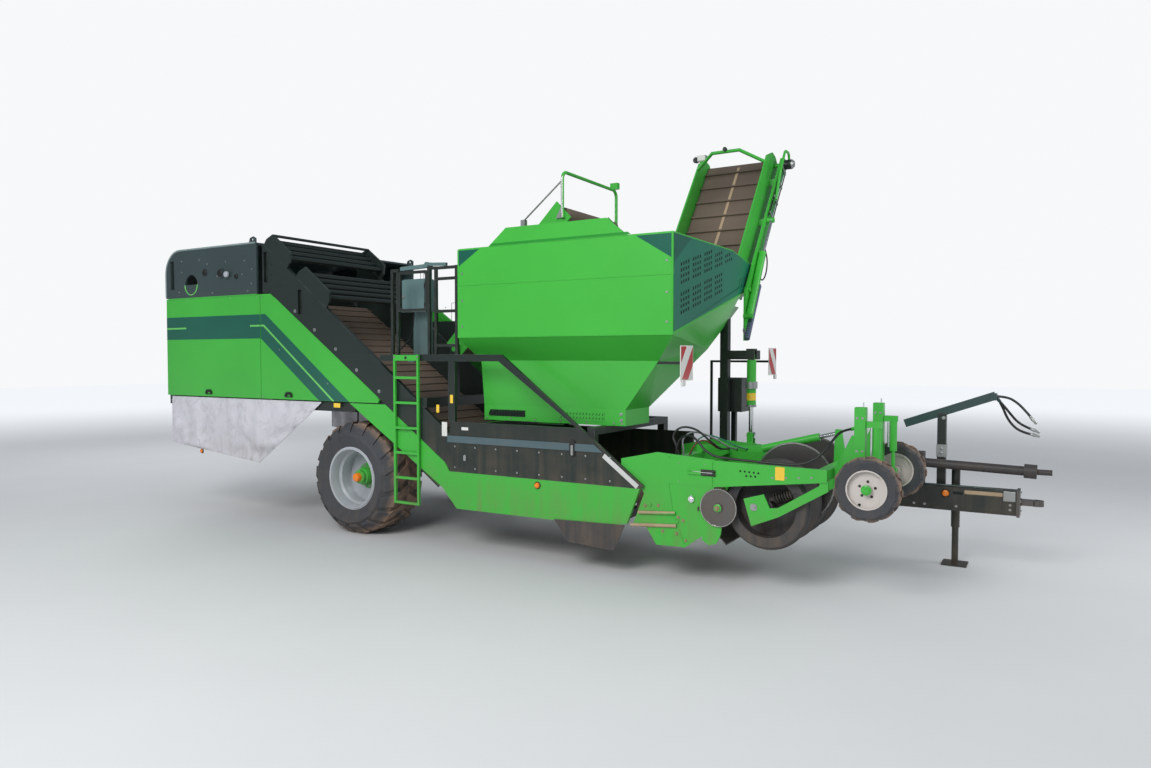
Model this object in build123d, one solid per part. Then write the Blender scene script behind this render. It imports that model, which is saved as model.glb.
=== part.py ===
"""Trailed two-row bunker potato harvester, standing parked on its main wheels and drawbar jack.

Working frame, millimetres: X forward to the hitch, Y left, Z up. X = 0 at the main axle, Y = 0 midway between
the body sides, Z = 0 on the ground. At the end the whole model is moved so that the origin lies at the bottom
centre of its bounding box.
"""
import os
from math import cos, hypot, pi, radians, sin, tan

from build123d import *

# ---------------------------------------------------------------- driving dimensions
# Main wheels
TYRE_OD = 1470
TYRE_WIDTH = 740
RIM_OD = 825
RIM_WIDTH = 620
WHEEL_OUTER_Y = 1660
AXLE_BEAM = 150
STUB_DIA = 110
TYRE_SHOULDER = 0.28
TYRE_LUGS = 18
TYRE_LUG_DEPTH = 34
TYRE_LUG_WIDTH = 160
LUG_LEAN = 30

# Body sides and rear compartment
SIDE_Y = 1620
WALL = 40
REAR_X = -3930
SEAM_X = -1740
STRIP_Z = 1600
DOOR_BOTTOM_Z = 1735
DOOR_TOP_Z = 3200
HOOD_BOTTOM_Z = 3210
DOOR_THICK = 30
DOOR_GAP = 10
DOOR_TIP_CUT = 95
HOOD_TOP_Z = 3930
HOOD_REAR_RADIUS = 350
HOOD_FRONT_X = -1810
SLOT_WIDTH = 70
HOOD_SLOT = (-3800, 3350, 3770)
HOOD_EYE = (-3300, 3400)
HOOD_EYE_DIA = 300
HOOD_COVER = (-2590, 3540)
HOOD_CAP = (-2420, 3510)
FRAME_TUBE = 80

# Web channel: its left wall and the slope that the second web climbs
CHANNEL_LEFT_Y = 160
LINER = 15
SLOPE_RAIL = 120
SLOPE_TOP = (-1540, 3220)
SLOPE_FOOT = (1600, 1055)
RIDGE_TOP = (-1680, 3910)
RIDGE_FOOT = (1190, 1760)
WALL_SLOTS = ((-1650, 3360, 3780), (-960, 2900, 3230))
BELLY_Z = 510
SILL_Z = 950
PANEL_TOP_Z = 1550
PANEL_REAR_X = 1670
PANEL_FRONT_X = 4200

# Haulm rollers over the second web
HAULM_MODULES = ((40, 4), (850, 5))
HAULM_PITCH = 132
HAULM_PLATE = 215
HAULM_ROLLER = 78
HAULM_ROLLER_RISE = 105

# Frame
RAIL_Y = (200, 320)
RAIL_HEIGHT = 220
RAIL_REAR_X = -700
RAIL_FRONT_X = 4480
BOLSTER = 120

# Platform and ladder
PLATFORM_X = (540, 2390)
PLATFORM_Z = 2350
DECK_FRONT_X = 1740
DECK_INNER_Y = -1050
LADDER_X = (810, 1220)
LADDER_FOOT_Z = 500
LADDER_TUBE = 30
RUNG_PITCH = 310
RUNGS = 6
LADDER_GAP = 15
RAILING_DIA = 34
RAILING_X = (750, 840, 1345, 1455)
RAILING_HEIGHT = 1060
SIDE_RAILS = (110, 520, 910, 1040)
LOOP_HEIGHT = 530
CABINET_X = (570, 980)
CABINET_Y = (-1250, -1050)
CABINET_Z = (2900, 3310)

# Bunker
BUNKER_WALL = 30
BUNKER_X = (1800, 4570)
BUNKER_LEFT_Y = 920
BUNKER_TOP_Z = 3580
BUNKER_FOLD_Z = 2550
BUNKER_FOLD_LEFT_Z = 3220
BUNKER_BASE_Z = 1740
FLAP_X = (2250, 4050)
FLAP_HEIGHT = 200
FLAP_THICK = 20
FLAP_HINGE_RISE = 8
HOOP_DIA = 40
HOOP_STRUT = 560

# Belts
BELT_THICK = 24
WEB_PULLEY = 90
WEB_PITCH = 160
CLEAT_HEIGHT = 14
CLEAT_WIDTH = 22
SHAFT_DIA = 60

# Fill conveyor
FILL_Y = (-970, 330)
FILL_FOOT = (1250, 2420)
FILL_HEAD = (2850, 4000)
FILL_UPRIGHT = 50
FILL_PITCH = 310

# Discharge elevator
ELEVATOR_X = (3550, 4530)
ELEVATOR_HINGE = (520, 3150)
ELEVATOR_ANGLE = 53
ELEVATOR_LENGTH = 2230
ELEVATOR_PITCH = 265
OUTER_ARM_X = (4600, 4630)
ARM_TAIL = (450, 2520)
ARM_SPACERS = (1150, 1900)
HEAD_MOTOR_DIA = 130
FOLD_BARREL = 90
FOLD_ROD = 50
ELEVATOR_PULLEY = 75
ELEVATOR_SIDE = 20

# Digger
DIGGER_PIVOT = (3900, 1050)
DIGGER_Y = (-1575, 50)
DIGGER_PLATE = 30
DIGGER_WEB_REAR = (4200, 760)
DIGGER_WEB_FRONT = (4780, 600)
DIGGER_PULLEY = 80
PIVOT_DIA = 50
BEAM_FRONT_X = 6100
BEAM_THICK = 50
DIABOLO_AXLE = (5500, 865)
DIABOLO_DIA = 840
DIABOLO_WIDTH = 520
ROW_Y = (-1245, -495)
WEAR_TUBE = 36
GUIDE_Z = (1150, 1185)
WALL_BOLTS = (((4760, 890), 76, 10), ((4840, 800), 40, 12), ((4300, 790), 30, 12), ((4610, 650), 30, 12))
PRESS_Y = -780
PRESS_BARREL = 80
COULTER_AXLE = (5600, 1035)
COULTER_DIA = 820
SIDE_DISC_AXLE = (5050, 830)
SIDE_DISC_DIA = 380
GAUGE_AXLE = (6460, 1130)
GAUGE_OD = 590
GAUGE_WIDTH = 180
GAUGE_RIM_OD = 360
GAUGE_STUB = 46
GAUGE_LUGS = 12
GAUGE_LUG_DEPTH = 16
GAUGE_LUG_WIDTH = 48
GAUGE_Y = (-1560, -60)
TOWER_X = 6330
TOWER_TUBE = 100
TOWER_TOP_Z = 1850
TOWER_INSET = 310
TOWER_CYLINDER_X = 95
TOWER_BARREL = 70

# Hoses
HOSE_DIA = 26
FITTING = 62
HOSE_PLATE_X = 7345
BEAM_HOSE_DIA = 24
# Points of the free hoses: node name, then x, y, z from the hose plate down to the coupling
FREE_HOSES = (
    ("hose_upper", ((7352, 730, 1895), (7450, 728, 1890), (7540, 705, 1835), (7610, 672, 1765), (7670, 650, 1690))),
    ("hose_middle", ((7375, 782, 1835), (7425, 783, 1775), (7480, 790, 1700), (7535, 800, 1630), (7600, 808, 1580),
                     (7670, 806, 1550))),
    ("hose_lower", ((7362, 832, 1842), (7400, 834, 1770), (7436, 845, 1668), (7495, 860, 1575), (7575, 872, 1510),
                    (7665, 876, 1487))),
)
# Points of the hose from the digger's rear bar along the right beam to the gauge tower
BEAM_HOSE = ((4530, -1440, 1280), (4530, -1440, 1390), (4585, -1452, 1490), (4700, -1490, 1535), (4805, -1528, 1480),
             (4880, -1548, 1395), (4990, -1552, 1332), (5180, -1550, 1318), (5420, -1553, 1310), (5650, -1549, 1303),
             (5850, -1552, 1306), (5985, -1530, 1365), (6070, -1470, 1465), (6120, -1390, 1560), (6165, -1300, 1625),
             (6240, -1250, 1640))

# Drawbar
DRAWBAR_PIVOT = (4600, 630)
DRAWBAR_Z = (640, 900)
DRAWBAR_WIDTH = 180
DRAWBAR_FRONT_X = 7560
HITCH_X = 7750
HITCH_Z = 780
HITCH_BORE = 50
JACK_X = 6950
JACK_TUBE = 90
JACK_LEG = 70
JACK_FOOT = 260
PTO_DIA = 100
PTO_BORE = 35
PTO_FRONT_X = 7740
PTO_REAR_X = 6640

# Lift cylinder of the digger
LIFT_XY = (4750, 280)
LIFT_TOP_Z = 2340
LIFT_EYE_Z = 1380
LIFT_DIA = 110
LIFT_ROD = 60
LIFT_PIN = 30
LIFT_EYE = 50
LIFT_OPEN_EYE = 52
LIFT_FORK = 55

# Warning boards
BOARD_X = 4640
BOARD_Z = 2260
BOARD_SIZE = (320, 360)
BOARD_OUT_Y = 1600

RUNNING_GAP = 10
SEAT = 0.3
FLATNESS = 0.001

AXLE_Z = TYRE_OD / 2
WHEEL_Y = WHEEL_OUTER_Y - TYRE_WIDTH / 2
RIGHT, LEFT = -1, 1


# ---------------------------------------------------------------- shared shapes

# Values that follow from the sizes above, and places of lesser members
RIM_DISH = 330
FRAME_OUT = SIDE_Y - WALL
RAIL_Z = (AXLE_Z + AXLE_BEAM / 2, AXLE_Z + AXLE_BEAM / 2 + RAIL_HEIGHT)
RIGHT_RAIL_X = (RAIL_REAR_X, 1030)
STRIP = (STRIP_Z, STRIP_Z + BOLSTER)
CROSS_Z = (BELLY_Z + 5, BELLY_Z + 95)
SILL = (SILL_Z + 10, SILL_Z + 90)
UPRIGHT_Y = 630
UPRIGHT = 140
CROSS_X = (1800, 3735)
CROSS_TUBE = 90
OUTRIGGER_X = (2100, 3600)
FRONT_BEAM_X = (4300, RAIL_FRONT_X)
FORK_GAP = 5
FORK_PLATE = 50
CHANNEL_UNDER = [(RIDGE_TOP[0], 2700), (-1240, 2400), (BOLSTER / 2 + 10, STRIP[1] + 5), (1450, 735)]
HINGE_DIA = 2 * (HOOD_BOTTOM_Z - DOOR_TOP_Z - SEAT)
PICKING_Y = (420, 1500)
PICKING_Z = 2620
CROSS_FEED_X = (960, 1560)
CROSS_FEED_Z = 2510
BASE_Y = (-1250, -650)
FRONT_POST_X = (4320, 4420)
FRONT_POST_Y = (360, 460)
RING_B_Z = 2280
RING_B_LEFT_Y = 60
RING_B_X = (1920, 4270)
RING_B_Y = -1320
RING_C_X = (1910, 3840)
CROSS_TUBE_Z = (1170, 1270)
COULTER_Y = (-870, -130)
SIDE_DISC_Y = -1590
ARM_PLATE = 20
DIABOLO_SHAFT = 70
DISC_PIN = 40
HOSE_ARM_Y = 780
JACK_Y = DRAWBAR_PIVOT[1] + DRAWBAR_WIDTH / 2 + 60


def block(x, y, z):
    """A box from three (low, high) pairs, in either order."""
    size = [abs(high - low) for low, high in (x, y, z)]
    middle = [(low + high) / 2 for low, high in (x, y, z)]
    return Pos(*middle) * Box(*size)


def plate_xz(outline, y0, y1):
    """A plate with an outline of (x, z) points, standing between y0 and y1."""
    low, high = min(y0, y1), max(y0, y1)
    wire = Polyline(*[(x, low, z) for x, z in outline], close=True)
    return extrude(make_face(wire), amount=high - low, dir=(0, 1, 0))


def plate_yz(outline, x0, x1):
    """A plate with an outline of (y, z) points, standing between x0 and x1."""
    low, high = min(x0, x1), max(x0, x1)
    wire = Polyline(*[(low, y, z) for y, z in outline], close=True)
    return extrude(make_face(wire), amount=high - low, dir=(1, 0, 0))


def plate_xy(outline, z0, z1):
    """A plate with an outline of (x, y) points, lying between z0 and z1."""
    wire = Polyline(*[(x, y, z0) for x, y in outline], close=True)
    return extrude(make_face(wire), amount=z1 - z0, dir=(0, 0, 1))


def rod(start, end, diameter):
    """A round bar between two points."""
    run = Vector(*end) - Vector(*start)
    return Plane(origin=start, z_dir=run) * Cylinder(
        diameter / 2, run.length, align=(Align.CENTER, Align.CENTER, Align.MIN))


def bar(start, end, wide, deep, wide_dir=(0, 1, 0)):
    """A rectangular bar between two points, its width along wide_dir."""
    run = Vector(*end) - Vector(*start)
    return Plane(origin=start, x_dir=wide_dir, z_dir=run) * Box(
        wide, deep, run.length, align=(Align.CENTER, Align.CENTER, Align.MIN))


def bent_tube(corners, radius, diameter):
    """A round tube through corner points, bent to one radius or to a list of one radius for each corner."""
    route = FilletPolyline(*corners, radius=radius)
    start = Plane(origin=route @ 0, z_dir=route % 0)
    return sweep(start * Circle(diameter / 2), path=route)


def drum(x, z, y0, y1, diameter, bore=0):
    """A cylinder across the machine, with an optional bore."""
    body = rod((x, y0, z), (x, y1, z), diameter)
    if bore:
        body -= rod((x, min(y0, y1) - 1, z), (x, max(y0, y1) + 1, z), bore)
    return body


def belt_loop(rear, front, radius, y0, y1):
    """An endless belt round two pulleys in an XZ plane, with its drums and shafts."""
    (x0, z0), (x1, z1) = rear, front
    outer = _stadium(rear, front, radius, y0, y1)
    inner = _stadium(rear, front, radius - BELT_THICK, y0 - 1, y1 + 1)
    belt = outer - inner
    for x, z in (rear, front):
        belt += drum(x, z, y0, y1, 2 * (radius - BELT_THICK))
    return belt


def cleats(rear, front, radius, y0, y1, pitch, height):
    """Cross bars on a belt's upper run, one pitch apart; rear is the end with the smaller X."""
    (x0, z0), (x1, z1) = rear, front
    length = hypot(x1 - x0, z1 - z0)
    ux, uz = (x1 - x0) / length, (z1 - z0) / length
    count = int(length // pitch)
    first = (length - (count - 1) * pitch) / 2
    middle = radius + height / 2 - 2
    bars = []
    for i in range(count):
        run = first + i * pitch
        x, z = x0 + ux * run - uz * middle, z0 + uz * run + ux * middle
        bars.append(bar((x, y0, z), (x, y1, z), CLEAT_WIDTH, height + 4, (ux, 0, uz)))
    return bars


def _stadium(rear, front, radius, y0, y1):
    """A solid between y0 and y1 whose section is two circles and their common tangents."""
    (x0, z0), (x1, z1) = rear, front
    length = hypot(x1 - x0, z1 - z0)
    nx, nz = -(z1 - z0) / length * radius, (x1 - x0) / length * radius
    core = plate_xz([(x0 + nx, z0 + nz), (x1 + nx, z1 + nz), (x1 - nx, z1 - nz), (x0 - nx, z0 - nz)], y0, y1)
    return core + drum(x0, z0, y0, y1, 2 * radius) + drum(x1, z1, y0, y1, 2 * radius)


def side_span(side, outer, thick):
    """The Y span of a plate at a body side: side is -1 at the right, 1 at the left."""
    return side * (outer - thick), side * outer


def slope_z(x):
    """Height of the slope seam, where the green body meets the dark slope wall."""
    (x0, z0), (x1, z1) = SLOPE_TOP, SLOPE_FOOT
    return z0 + (x - x0) * (z1 - z0) / (x1 - x0)


def slope_x(z):
    (x0, z0), (x1, z1) = SLOPE_TOP, SLOPE_FOOT
    return x0 + (z - z0) * (x1 - x0) / (z1 - z0)


# ---------------------------------------------------------------- main wheels


def polyhedron(rings, closed=False):
    """The flat-faced solid through rings of corners; a face whose corners aren't in a plane is folded once."""
    faces = []
    pairs = list(zip(rings, rings[1:]))
    if closed:
        pairs.append((rings[-1], rings[0]))
    else:
        faces += [Face(Wire.make_polygon(rings[0])), Face(Wire.make_polygon(rings[-1]))]
    for one, two in pairs:
        for i in range(len(one)):
            a, b, c, d = (Vector(*p) for p in (one[i - 1], one[i], two[i], two[i - 1]))
            lift = abs((b - a).cross(d - a).normalized().dot(c - a))
            corners = [[a, b, c, d]] if lift < FLATNESS else [[a, b, c], [a, c, d]]
            faces += [Face(Wire.make_polygon(points)) for points in corners]
    return Solid(Shell(faces))


def tyre_lug(radius, half, depth, width, lean, row):
    """One tread lug from the middle of the tread (+Z for row 1, -Z for row -1) down over the shoulder."""
    shoulder = half * TYRE_SHOULDER
    rings = []
    for z, top in ((-0.03 * half, radius), (0.62 * half, radius), (0.92 * half, radius - shoulder)):
        turn = z * tan(radians(lean)) / radius
        spread = width / 2 / radius
        corners = ((top - 1.6 * depth, -1), (top - 1.6 * depth, 1), (top, 1), (top, -1))
        rings.append([(r * cos(turn + end * spread), r * sin(turn + end * spread), row * z) for r, end in corners])
    return polyhedron(rings)


def lugged_tyre(outer_dia, rim_dia, width, lugs, depth, lug_width, lean):
    """A tyre about the Z axis: a carcass with flat sides, one for each lug, and two staggered rows of lugs."""
    radius, bore, half = outer_dia / 2, rim_dia / 2, width / 2
    carcass_r = radius - depth
    shoulder = half * TYRE_SHOULDER
    profile = [(bore, -half * 0.84), (bore, half * 0.84), (carcass_r - 1.3 * shoulder, half),
               (carcass_r, half * 0.62), (carcass_r, -half * 0.62), (carcass_r - 1.3 * shoulder, -half)]
    sides = lugs
    across = cos(pi / sides)
    rings = []
    for i in range(sides):
        angle = 2 * pi * (i + 0.5) / sides
        rings.append([(r / across * cos(angle), r / across * sin(angle), z) for r, z in profile])
    shape = polyhedron(rings, closed=True)
    pitch = 360 / lugs
    row = [Rot(Z=i * pitch) * tyre_lug(radius, half, depth, lug_width, lean, 1) for i in range(lugs)]
    row += [Rot(Z=(i + 0.5) * pitch) * tyre_lug(radius, half, depth, lug_width, lean, -1) for i in range(lugs)]
    return shape + row


def on_axle(shape, x, y, z):
    """Turns a shape made about Z so that its +Z end points to +Y, and sets its middle at a point."""
    return Pos(x, y, z) * Rot(X=-90) * shape


def rim(outer_dia, width, dish, hub_dia, bore):
    """A deep dished rim about Z; its disc lies dish below the outer lip, and the hub reaches through."""
    outer, half, skin = outer_dia / 2 - SEAT, width / 2, 12
    lip = outer - 22
    barrel = Cylinder(outer, width) - Cylinder(lip, width + 2)
    disc_top = half - dish
    disc = Pos(0, 0, disc_top - skin / 2) * Cylinder(lip + 2, skin)
    hub = Pos(0, 0, disc_top - 70) * Cylinder(hub_dia / 2, 200)
    hollow = Pos(0, 0, disc_top - 70 - 20) * Cylinder(bore / 2, 200)
    return barrel + disc + hub - hollow


def main_tyre():
    return lugged_tyre(TYRE_OD, RIM_OD, TYRE_WIDTH, TYRE_LUGS, TYRE_LUG_DEPTH, TYRE_LUG_WIDTH, LUG_LEAN)


def main_rim(side):
    shape = rim(RIM_OD, RIM_WIDTH, RIM_DISH, 260, STUB_DIA + 2 * SEAT)
    if side == RIGHT:
        shape = Rot(X=180) * shape
    return on_axle(shape, 0, side * WHEEL_Y, AXLE_Z)


# ---------------------------------------------------------------- frame


def main_frame():
    """Two longitudinal rails on the axle, the rear body strip, web cross tubes and the drawbar's fork."""
    inner_y, outer_y = RAIL_Y
    shape = block((RAIL_REAR_X, RAIL_FRONT_X), RAIL_Y, RAIL_Z)
    shape += block(RIGHT_RAIL_X, (-UPRIGHT_Y - UPRIGHT / 2, -UPRIGHT_Y + UPRIGHT / 2), RAIL_Z)
    shape += block((RIGHT_RAIL_X[1] - BOLSTER, RIGHT_RAIL_X[1]), (-UPRIGHT_Y - UPRIGHT / 2, inner_y), RAIL_Z)
    # Uprights from the axle to the bolster that carries the rear body
    for y in (-UPRIGHT_Y, UPRIGHT_Y):
        shape += block((-75, 75), (y - UPRIGHT / 2, y + UPRIGHT / 2), (RAIL_Z[0], STRIP[0]))
    shape += block((-BOLSTER / 2, BOLSTER / 2), (-FRAME_OUT, FRAME_OUT), STRIP)
    # Rear strip rails and their cross tubes
    for side in (RIGHT, LEFT):
        shape += block((REAR_X + 30, BOLSTER / 2), side_span(side, FRAME_OUT, FRAME_TUBE), STRIP)
    for x in (REAR_X + 30, SEAM_X - FRAME_TUBE):
        shape += block((x, x + FRAME_TUBE), (-FRAME_OUT, FRAME_OUT), STRIP)
    # Sill along the right side of the web channel, with hangers to the cross tubes under the webs
    sill_y = side_span(RIGHT, FRAME_OUT, FRAME_TUBE)
    shape += block((PANEL_REAR_X + 10, CROSS_X[1] + CROSS_TUBE), sill_y, SILL)
    for x in CROSS_X:
        shape += block((x, x + CROSS_TUBE), (-FRAME_OUT, outer_y), CROSS_Z)
        shape += block((x, x + CROSS_TUBE), sill_y, (CROSS_Z[0], SILL[0]))
        shape += block((x, x + CROSS_TUBE), RAIL_Y, (CROSS_Z[0], RAIL_Z[0]))
    # Left outriggers and sill
    left_y = side_span(LEFT, FRAME_OUT, FRAME_TUBE)
    for x in OUTRIGGER_X:
        shape += block((x, x + 90), (outer_y, FRAME_OUT), (RAIL_Z[0], RAIL_Z[0] + 120))
    shape += block((PANEL_REAR_X + 10, CROSS_X[1] + CROSS_TUBE), left_y, (RAIL_Z[0], RAIL_Z[0] + 120))
    # Front beam with the fork that holds the drawbar's pivot pin
    x, y = DRAWBAR_PIVOT
    low, high = DRAWBAR_Z
    fork_y = (y - DRAWBAR_WIDTH / 2, y + DRAWBAR_WIDTH / 2)
    shape += block(FRONT_BEAM_X, (inner_y, fork_y[1]), (low - FORK_GAP - FORK_PLATE, RAIL_Z[1]))
    for z in (low - FORK_GAP - FORK_PLATE, high + FORK_GAP):
        shape += block((FRONT_BEAM_X[1], x + 90), fork_y, (z, z + FORK_PLATE))
    shape += rod((x, y, low - FORK_GAP - 1), (x, y, high + FORK_GAP + 1), 60)
    return shape


def axle_beam():
    shape = block((-AXLE_BEAM / 2, AXLE_BEAM / 2), (-850, 850),
                  (AXLE_Z - AXLE_BEAM / 2, AXLE_Z + AXLE_BEAM / 2))
    tip = WHEEL_Y + RIM_WIDTH / 2 - RIM_DISH - 30
    shape += drum(0, AXLE_Z, -tip, tip, STUB_DIA)
    return shape


# ---------------------------------------------------------------- body sides
def lower_band(side):
    """The light green lower side: over the wheel, down the channel's underside and along the sill."""
    top = STRIP[1]
    outline = [(0, top), (slope_x(top) - DOOR_GAP, top), (SLOPE_FOOT[0] - DOOR_GAP, SLOPE_FOOT[1]),
               (PANEL_REAR_X - DOOR_GAP, SILL_Z), (PANEL_FRONT_X, SILL_Z), (4050, 570), (3780, 520), (1770, BELLY_Z),
               (1550, 750)]
    return plate_xz(outline, *side_span(side, SIDE_Y, WALL))


def left_fender():
    """The left side's green band over the wheel, and the slope rail that its front door hangs on."""
    top = STRIP[1]
    outline = [(0, top), (slope_x(top) - DOOR_GAP, top), SLOPE_FOOT, (1600, 930), (1250, 930)]
    high = SLOPE_TOP[1] + SLOPE_RAIL
    rail = [(SEAM_X, SLOPE_TOP[1]), SLOPE_TOP, SLOPE_FOOT, (SLOPE_FOOT[0], SLOPE_FOOT[1] + SLOPE_RAIL),
            (SLOPE_TOP[0], high), (SEAM_X, high)]
    y = side_span(LEFT, SIDE_Y, WALL)
    return plate_xz(outline, *y) + plate_xz(rail, *y)


# Lower edge of the web channel's walls, from the hood down over the bolster to the foot


def slope_wall_right():
    """The dark slope wall, with the channel's liner behind it and behind the doors."""
    outer = [RIDGE_TOP, RIDGE_FOOT, (PANEL_REAR_X, 1400), (PANEL_REAR_X, SILL_Z + 10), SLOPE_FOOT, SLOPE_TOP,
             (RIDGE_TOP[0], SLOPE_TOP[1])]
    liner = [RIDGE_TOP, RIDGE_FOOT, (PANEL_REAR_X, 1400), (PANEL_REAR_X, SILL_Z + 10), *reversed(CHANNEL_UNDER)]
    wall = plate_xz(outer, *side_span(RIGHT, SIDE_Y, WALL))
    for x, z0, z1 in WALL_SLOTS:
        wall -= block((x, x + SLOT_WIDTH), (-SIDE_Y - 1, -FRAME_OUT), (z0, z1))
    return wall + plate_xz(liner, -FRAME_OUT, -FRAME_OUT + LINER)


def channel_wall_left():
    """The left wall of both web channels, from the hood down to the front of the first web."""
    outline = [RIDGE_TOP, RIDGE_FOOT, (PANEL_REAR_X, 1400), (4050, 1400), (4050, BELLY_Z + 100),
               (1770, BELLY_Z + 100), *reversed(CHANNEL_UNDER)]
    return plate_xz(outline, CHANNEL_LEFT_Y, RAIL_Y[0])


def side_panel_right():
    """The dark panel above the sill; its front corner is cut along the brace."""
    outline = [(PANEL_REAR_X, SILL_Z), (PANEL_FRONT_X, SILL_Z), (3440, PANEL_TOP_Z), (PANEL_REAR_X, PANEL_TOP_Z)]
    return plate_xz(outline, *side_span(RIGHT, SIDE_Y, WALL))


def digger_pins():
    """Pins at both sides of the channel, on which the digger swings."""
    x, z = DIGGER_PIVOT
    right = drum(x, z, -FRAME_OUT, -FRAME_OUT + FRAME_TUBE, PIVOT_DIA)
    left = drum(x, z, DIGGER_Y[1] - DIGGER_PLATE - 5, CHANNEL_LEFT_Y, PIVOT_DIA)
    return Compound([*right.solids(), *left.solids()])


def rear_cage():
    """Corner posts and top rails of the rear compartment."""
    low, high = STRIP[1], HOOD_BOTTOM_Z
    parts = None
    for side in (RIGHT, LEFT):
        y = side_span(side, FRAME_OUT, FRAME_TUBE)
        for x in (REAR_X + 30, SEAM_X - FRAME_TUBE):
            post = block((x, x + FRAME_TUBE), y, (low, high))
            parts = post if parts is None else parts + post
        parts += block((REAR_X + 30, SEAM_X), y, (high - FRAME_TUBE, high))
    for x in (REAR_X + 30, SEAM_X - FRAME_TUBE):
        parts += block((x, x + FRAME_TUBE), (-FRAME_OUT, FRAME_OUT), (high - FRAME_TUBE, high))
    # Gusset behind the left slope rail
    rail_top = SLOPE_TOP[1] + SLOPE_RAIL
    return parts + block((SEAM_X, SEAM_X + 100), side_span(LEFT, FRAME_OUT, FRAME_TUBE), (high - FRAME_TUBE, rail_top))


def rear_panel():
    """The closed rear wall between the strip and the hood."""
    return block((REAR_X, REAR_X + 30), (-FRAME_OUT, FRAME_OUT), (STRIP[0], HOOD_BOTTOM_Z))


def rear_hood():
    """A box hood open below and in front, with a rounded rear edge."""
    low = HOOD_BOTTOM_Z
    outer = block((REAR_X, HOOD_FRONT_X), (-SIDE_Y, SIDE_Y), (low, HOOD_TOP_Z))
    edge = outer.edges().filter_by(Axis.Y).group_by(Axis.Z)[-1].sort_by(Axis.X)[0]
    outer = fillet(edge, HOOD_REAR_RADIUS)
    skin = 30
    inner = block((REAR_X + skin, HOOD_FRONT_X + 1), (-SIDE_Y + skin, SIDE_Y - skin), (low - 1, HOOD_TOP_Z - skin))
    edge = inner.edges().filter_by(Axis.Y).group_by(Axis.Z)[-1].sort_by(Axis.X)[0]
    inner = fillet(edge, HOOD_REAR_RADIUS - skin)
    shell = outer - inner
    # Air slots and the half-round inspection opening in the side walls
    x0, z0, z1 = HOOD_SLOT
    shell -= block((x0, x0 + SLOT_WIDTH), (-SIDE_Y - 1, SIDE_Y + 1), (z0, z1))
    x, z = HOOD_EYE
    eye = drum(x, z, -SIDE_Y - 1, SIDE_Y + 1, HOOD_EYE_DIA)
    eye -= block((x - HOOD_EYE_DIA, x + HOOD_EYE_DIA), (-SIDE_Y - 2, SIDE_Y + 2), (z - HOOD_EYE_DIA, z))
    return shell - eye


def hood_fittings():
    """The round cover and the shaft cap on each side of the hood, and the lifting lugs at its front."""
    pieces = []
    for side in (RIGHT, LEFT):
        face = side * SIDE_Y
        for (x, z), dia, proud in ((HOOD_COVER, 150, 14), (HOOD_CAP, 70, 30)):
            pieces.append(drum(x, z, face, face + side * proud, dia))
        lug = plate_xz([(HOOD_FRONT_X - 160, HOOD_TOP_Z), (HOOD_FRONT_X, HOOD_TOP_Z), (HOOD_FRONT_X, HOOD_TOP_Z + 60),
                        (HOOD_FRONT_X - 60, HOOD_TOP_Z + 90), (HOOD_FRONT_X - 130, HOOD_TOP_Z + 70)],
                       face, face - side * 12)
        pieces.append(lug - drum(HOOD_FRONT_X - 75, HOOD_TOP_Z + 45, face - side * 13, face + side, 32))
    return pieces


def rear_door(side):
    """The rear door, hinged along its top outer edge."""
    x0, x1 = REAR_X + DOOR_GAP / 2, SEAM_X - DOOR_GAP / 2
    door = block((x0, x1), side_span(side, SIDE_Y, DOOR_THICK), (DOOR_BOTTOM_Z, DOOR_TOP_Z))
    return door + rod((x0 + 60, side * SIDE_Y, DOOR_TOP_Z), (x1 - 60, side * SIDE_Y, DOOR_TOP_Z), HINGE_DIA)


def door_edge_x(z):
    """X of the front door's sloping edge, which runs one door gap below the slope seam."""
    (x0, z0), (x1, z1) = SLOPE_TOP, SLOPE_FOOT
    return slope_x(z) - DOOR_GAP * hypot(x1 - x0, z1 - z0) / (z0 - z1)


def front_door(side):
    """The three-cornered front door, hinged along the slope seam."""
    x0, x1, x2 = SEAM_X + DOOR_GAP / 2, door_edge_x(DOOR_TOP_Z), door_edge_x(DOOR_BOTTOM_Z)
    # The lower tip is cut off, so that the door clears the band below it as it swings up
    tip_z = DOOR_BOTTOM_Z + DOOR_TIP_CUT / 2
    outline = [(x0, DOOR_BOTTOM_Z), (x0, DOOR_TOP_Z), (x1, DOOR_TOP_Z), (door_edge_x(tip_z), tip_z),
               (x2 - DOOR_TIP_CUT, DOOR_BOTTOM_Z)]
    high, low = DOOR_TOP_Z - 60, DOOR_BOTTOM_Z + 60
    hinge = rod((door_edge_x(high), side * SIDE_Y, high), (door_edge_x(low), side * SIDE_Y, low),
                2 * (DOOR_GAP - SEAT))
    return plate_xz(outline, *side_span(side, SIDE_Y, DOOR_THICK)) + hinge


def canvas_skirt():
    """Canvas aprons hanging inside the strip, at both sides."""
    outline = [(REAR_X + 80, STRIP[1]), (REAR_X + 80, 1010), (-1810, 820), (-550, STRIP[1])]
    thick = 8
    sheets = [plate_xz(outline, side * FRAME_OUT, side * (FRAME_OUT + thick)) for side in (RIGHT, LEFT)]
    return Compound([solid for sheet in sheets for solid in sheet.solids()])


def ground_flap():
    """The flap under the first web's front end."""
    outline = [(3150, 530), (4030, 555), (3900, 270), (3330, 300)]
    return plate_xz(outline, -SIDE_Y, -SIDE_Y - 12)


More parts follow.
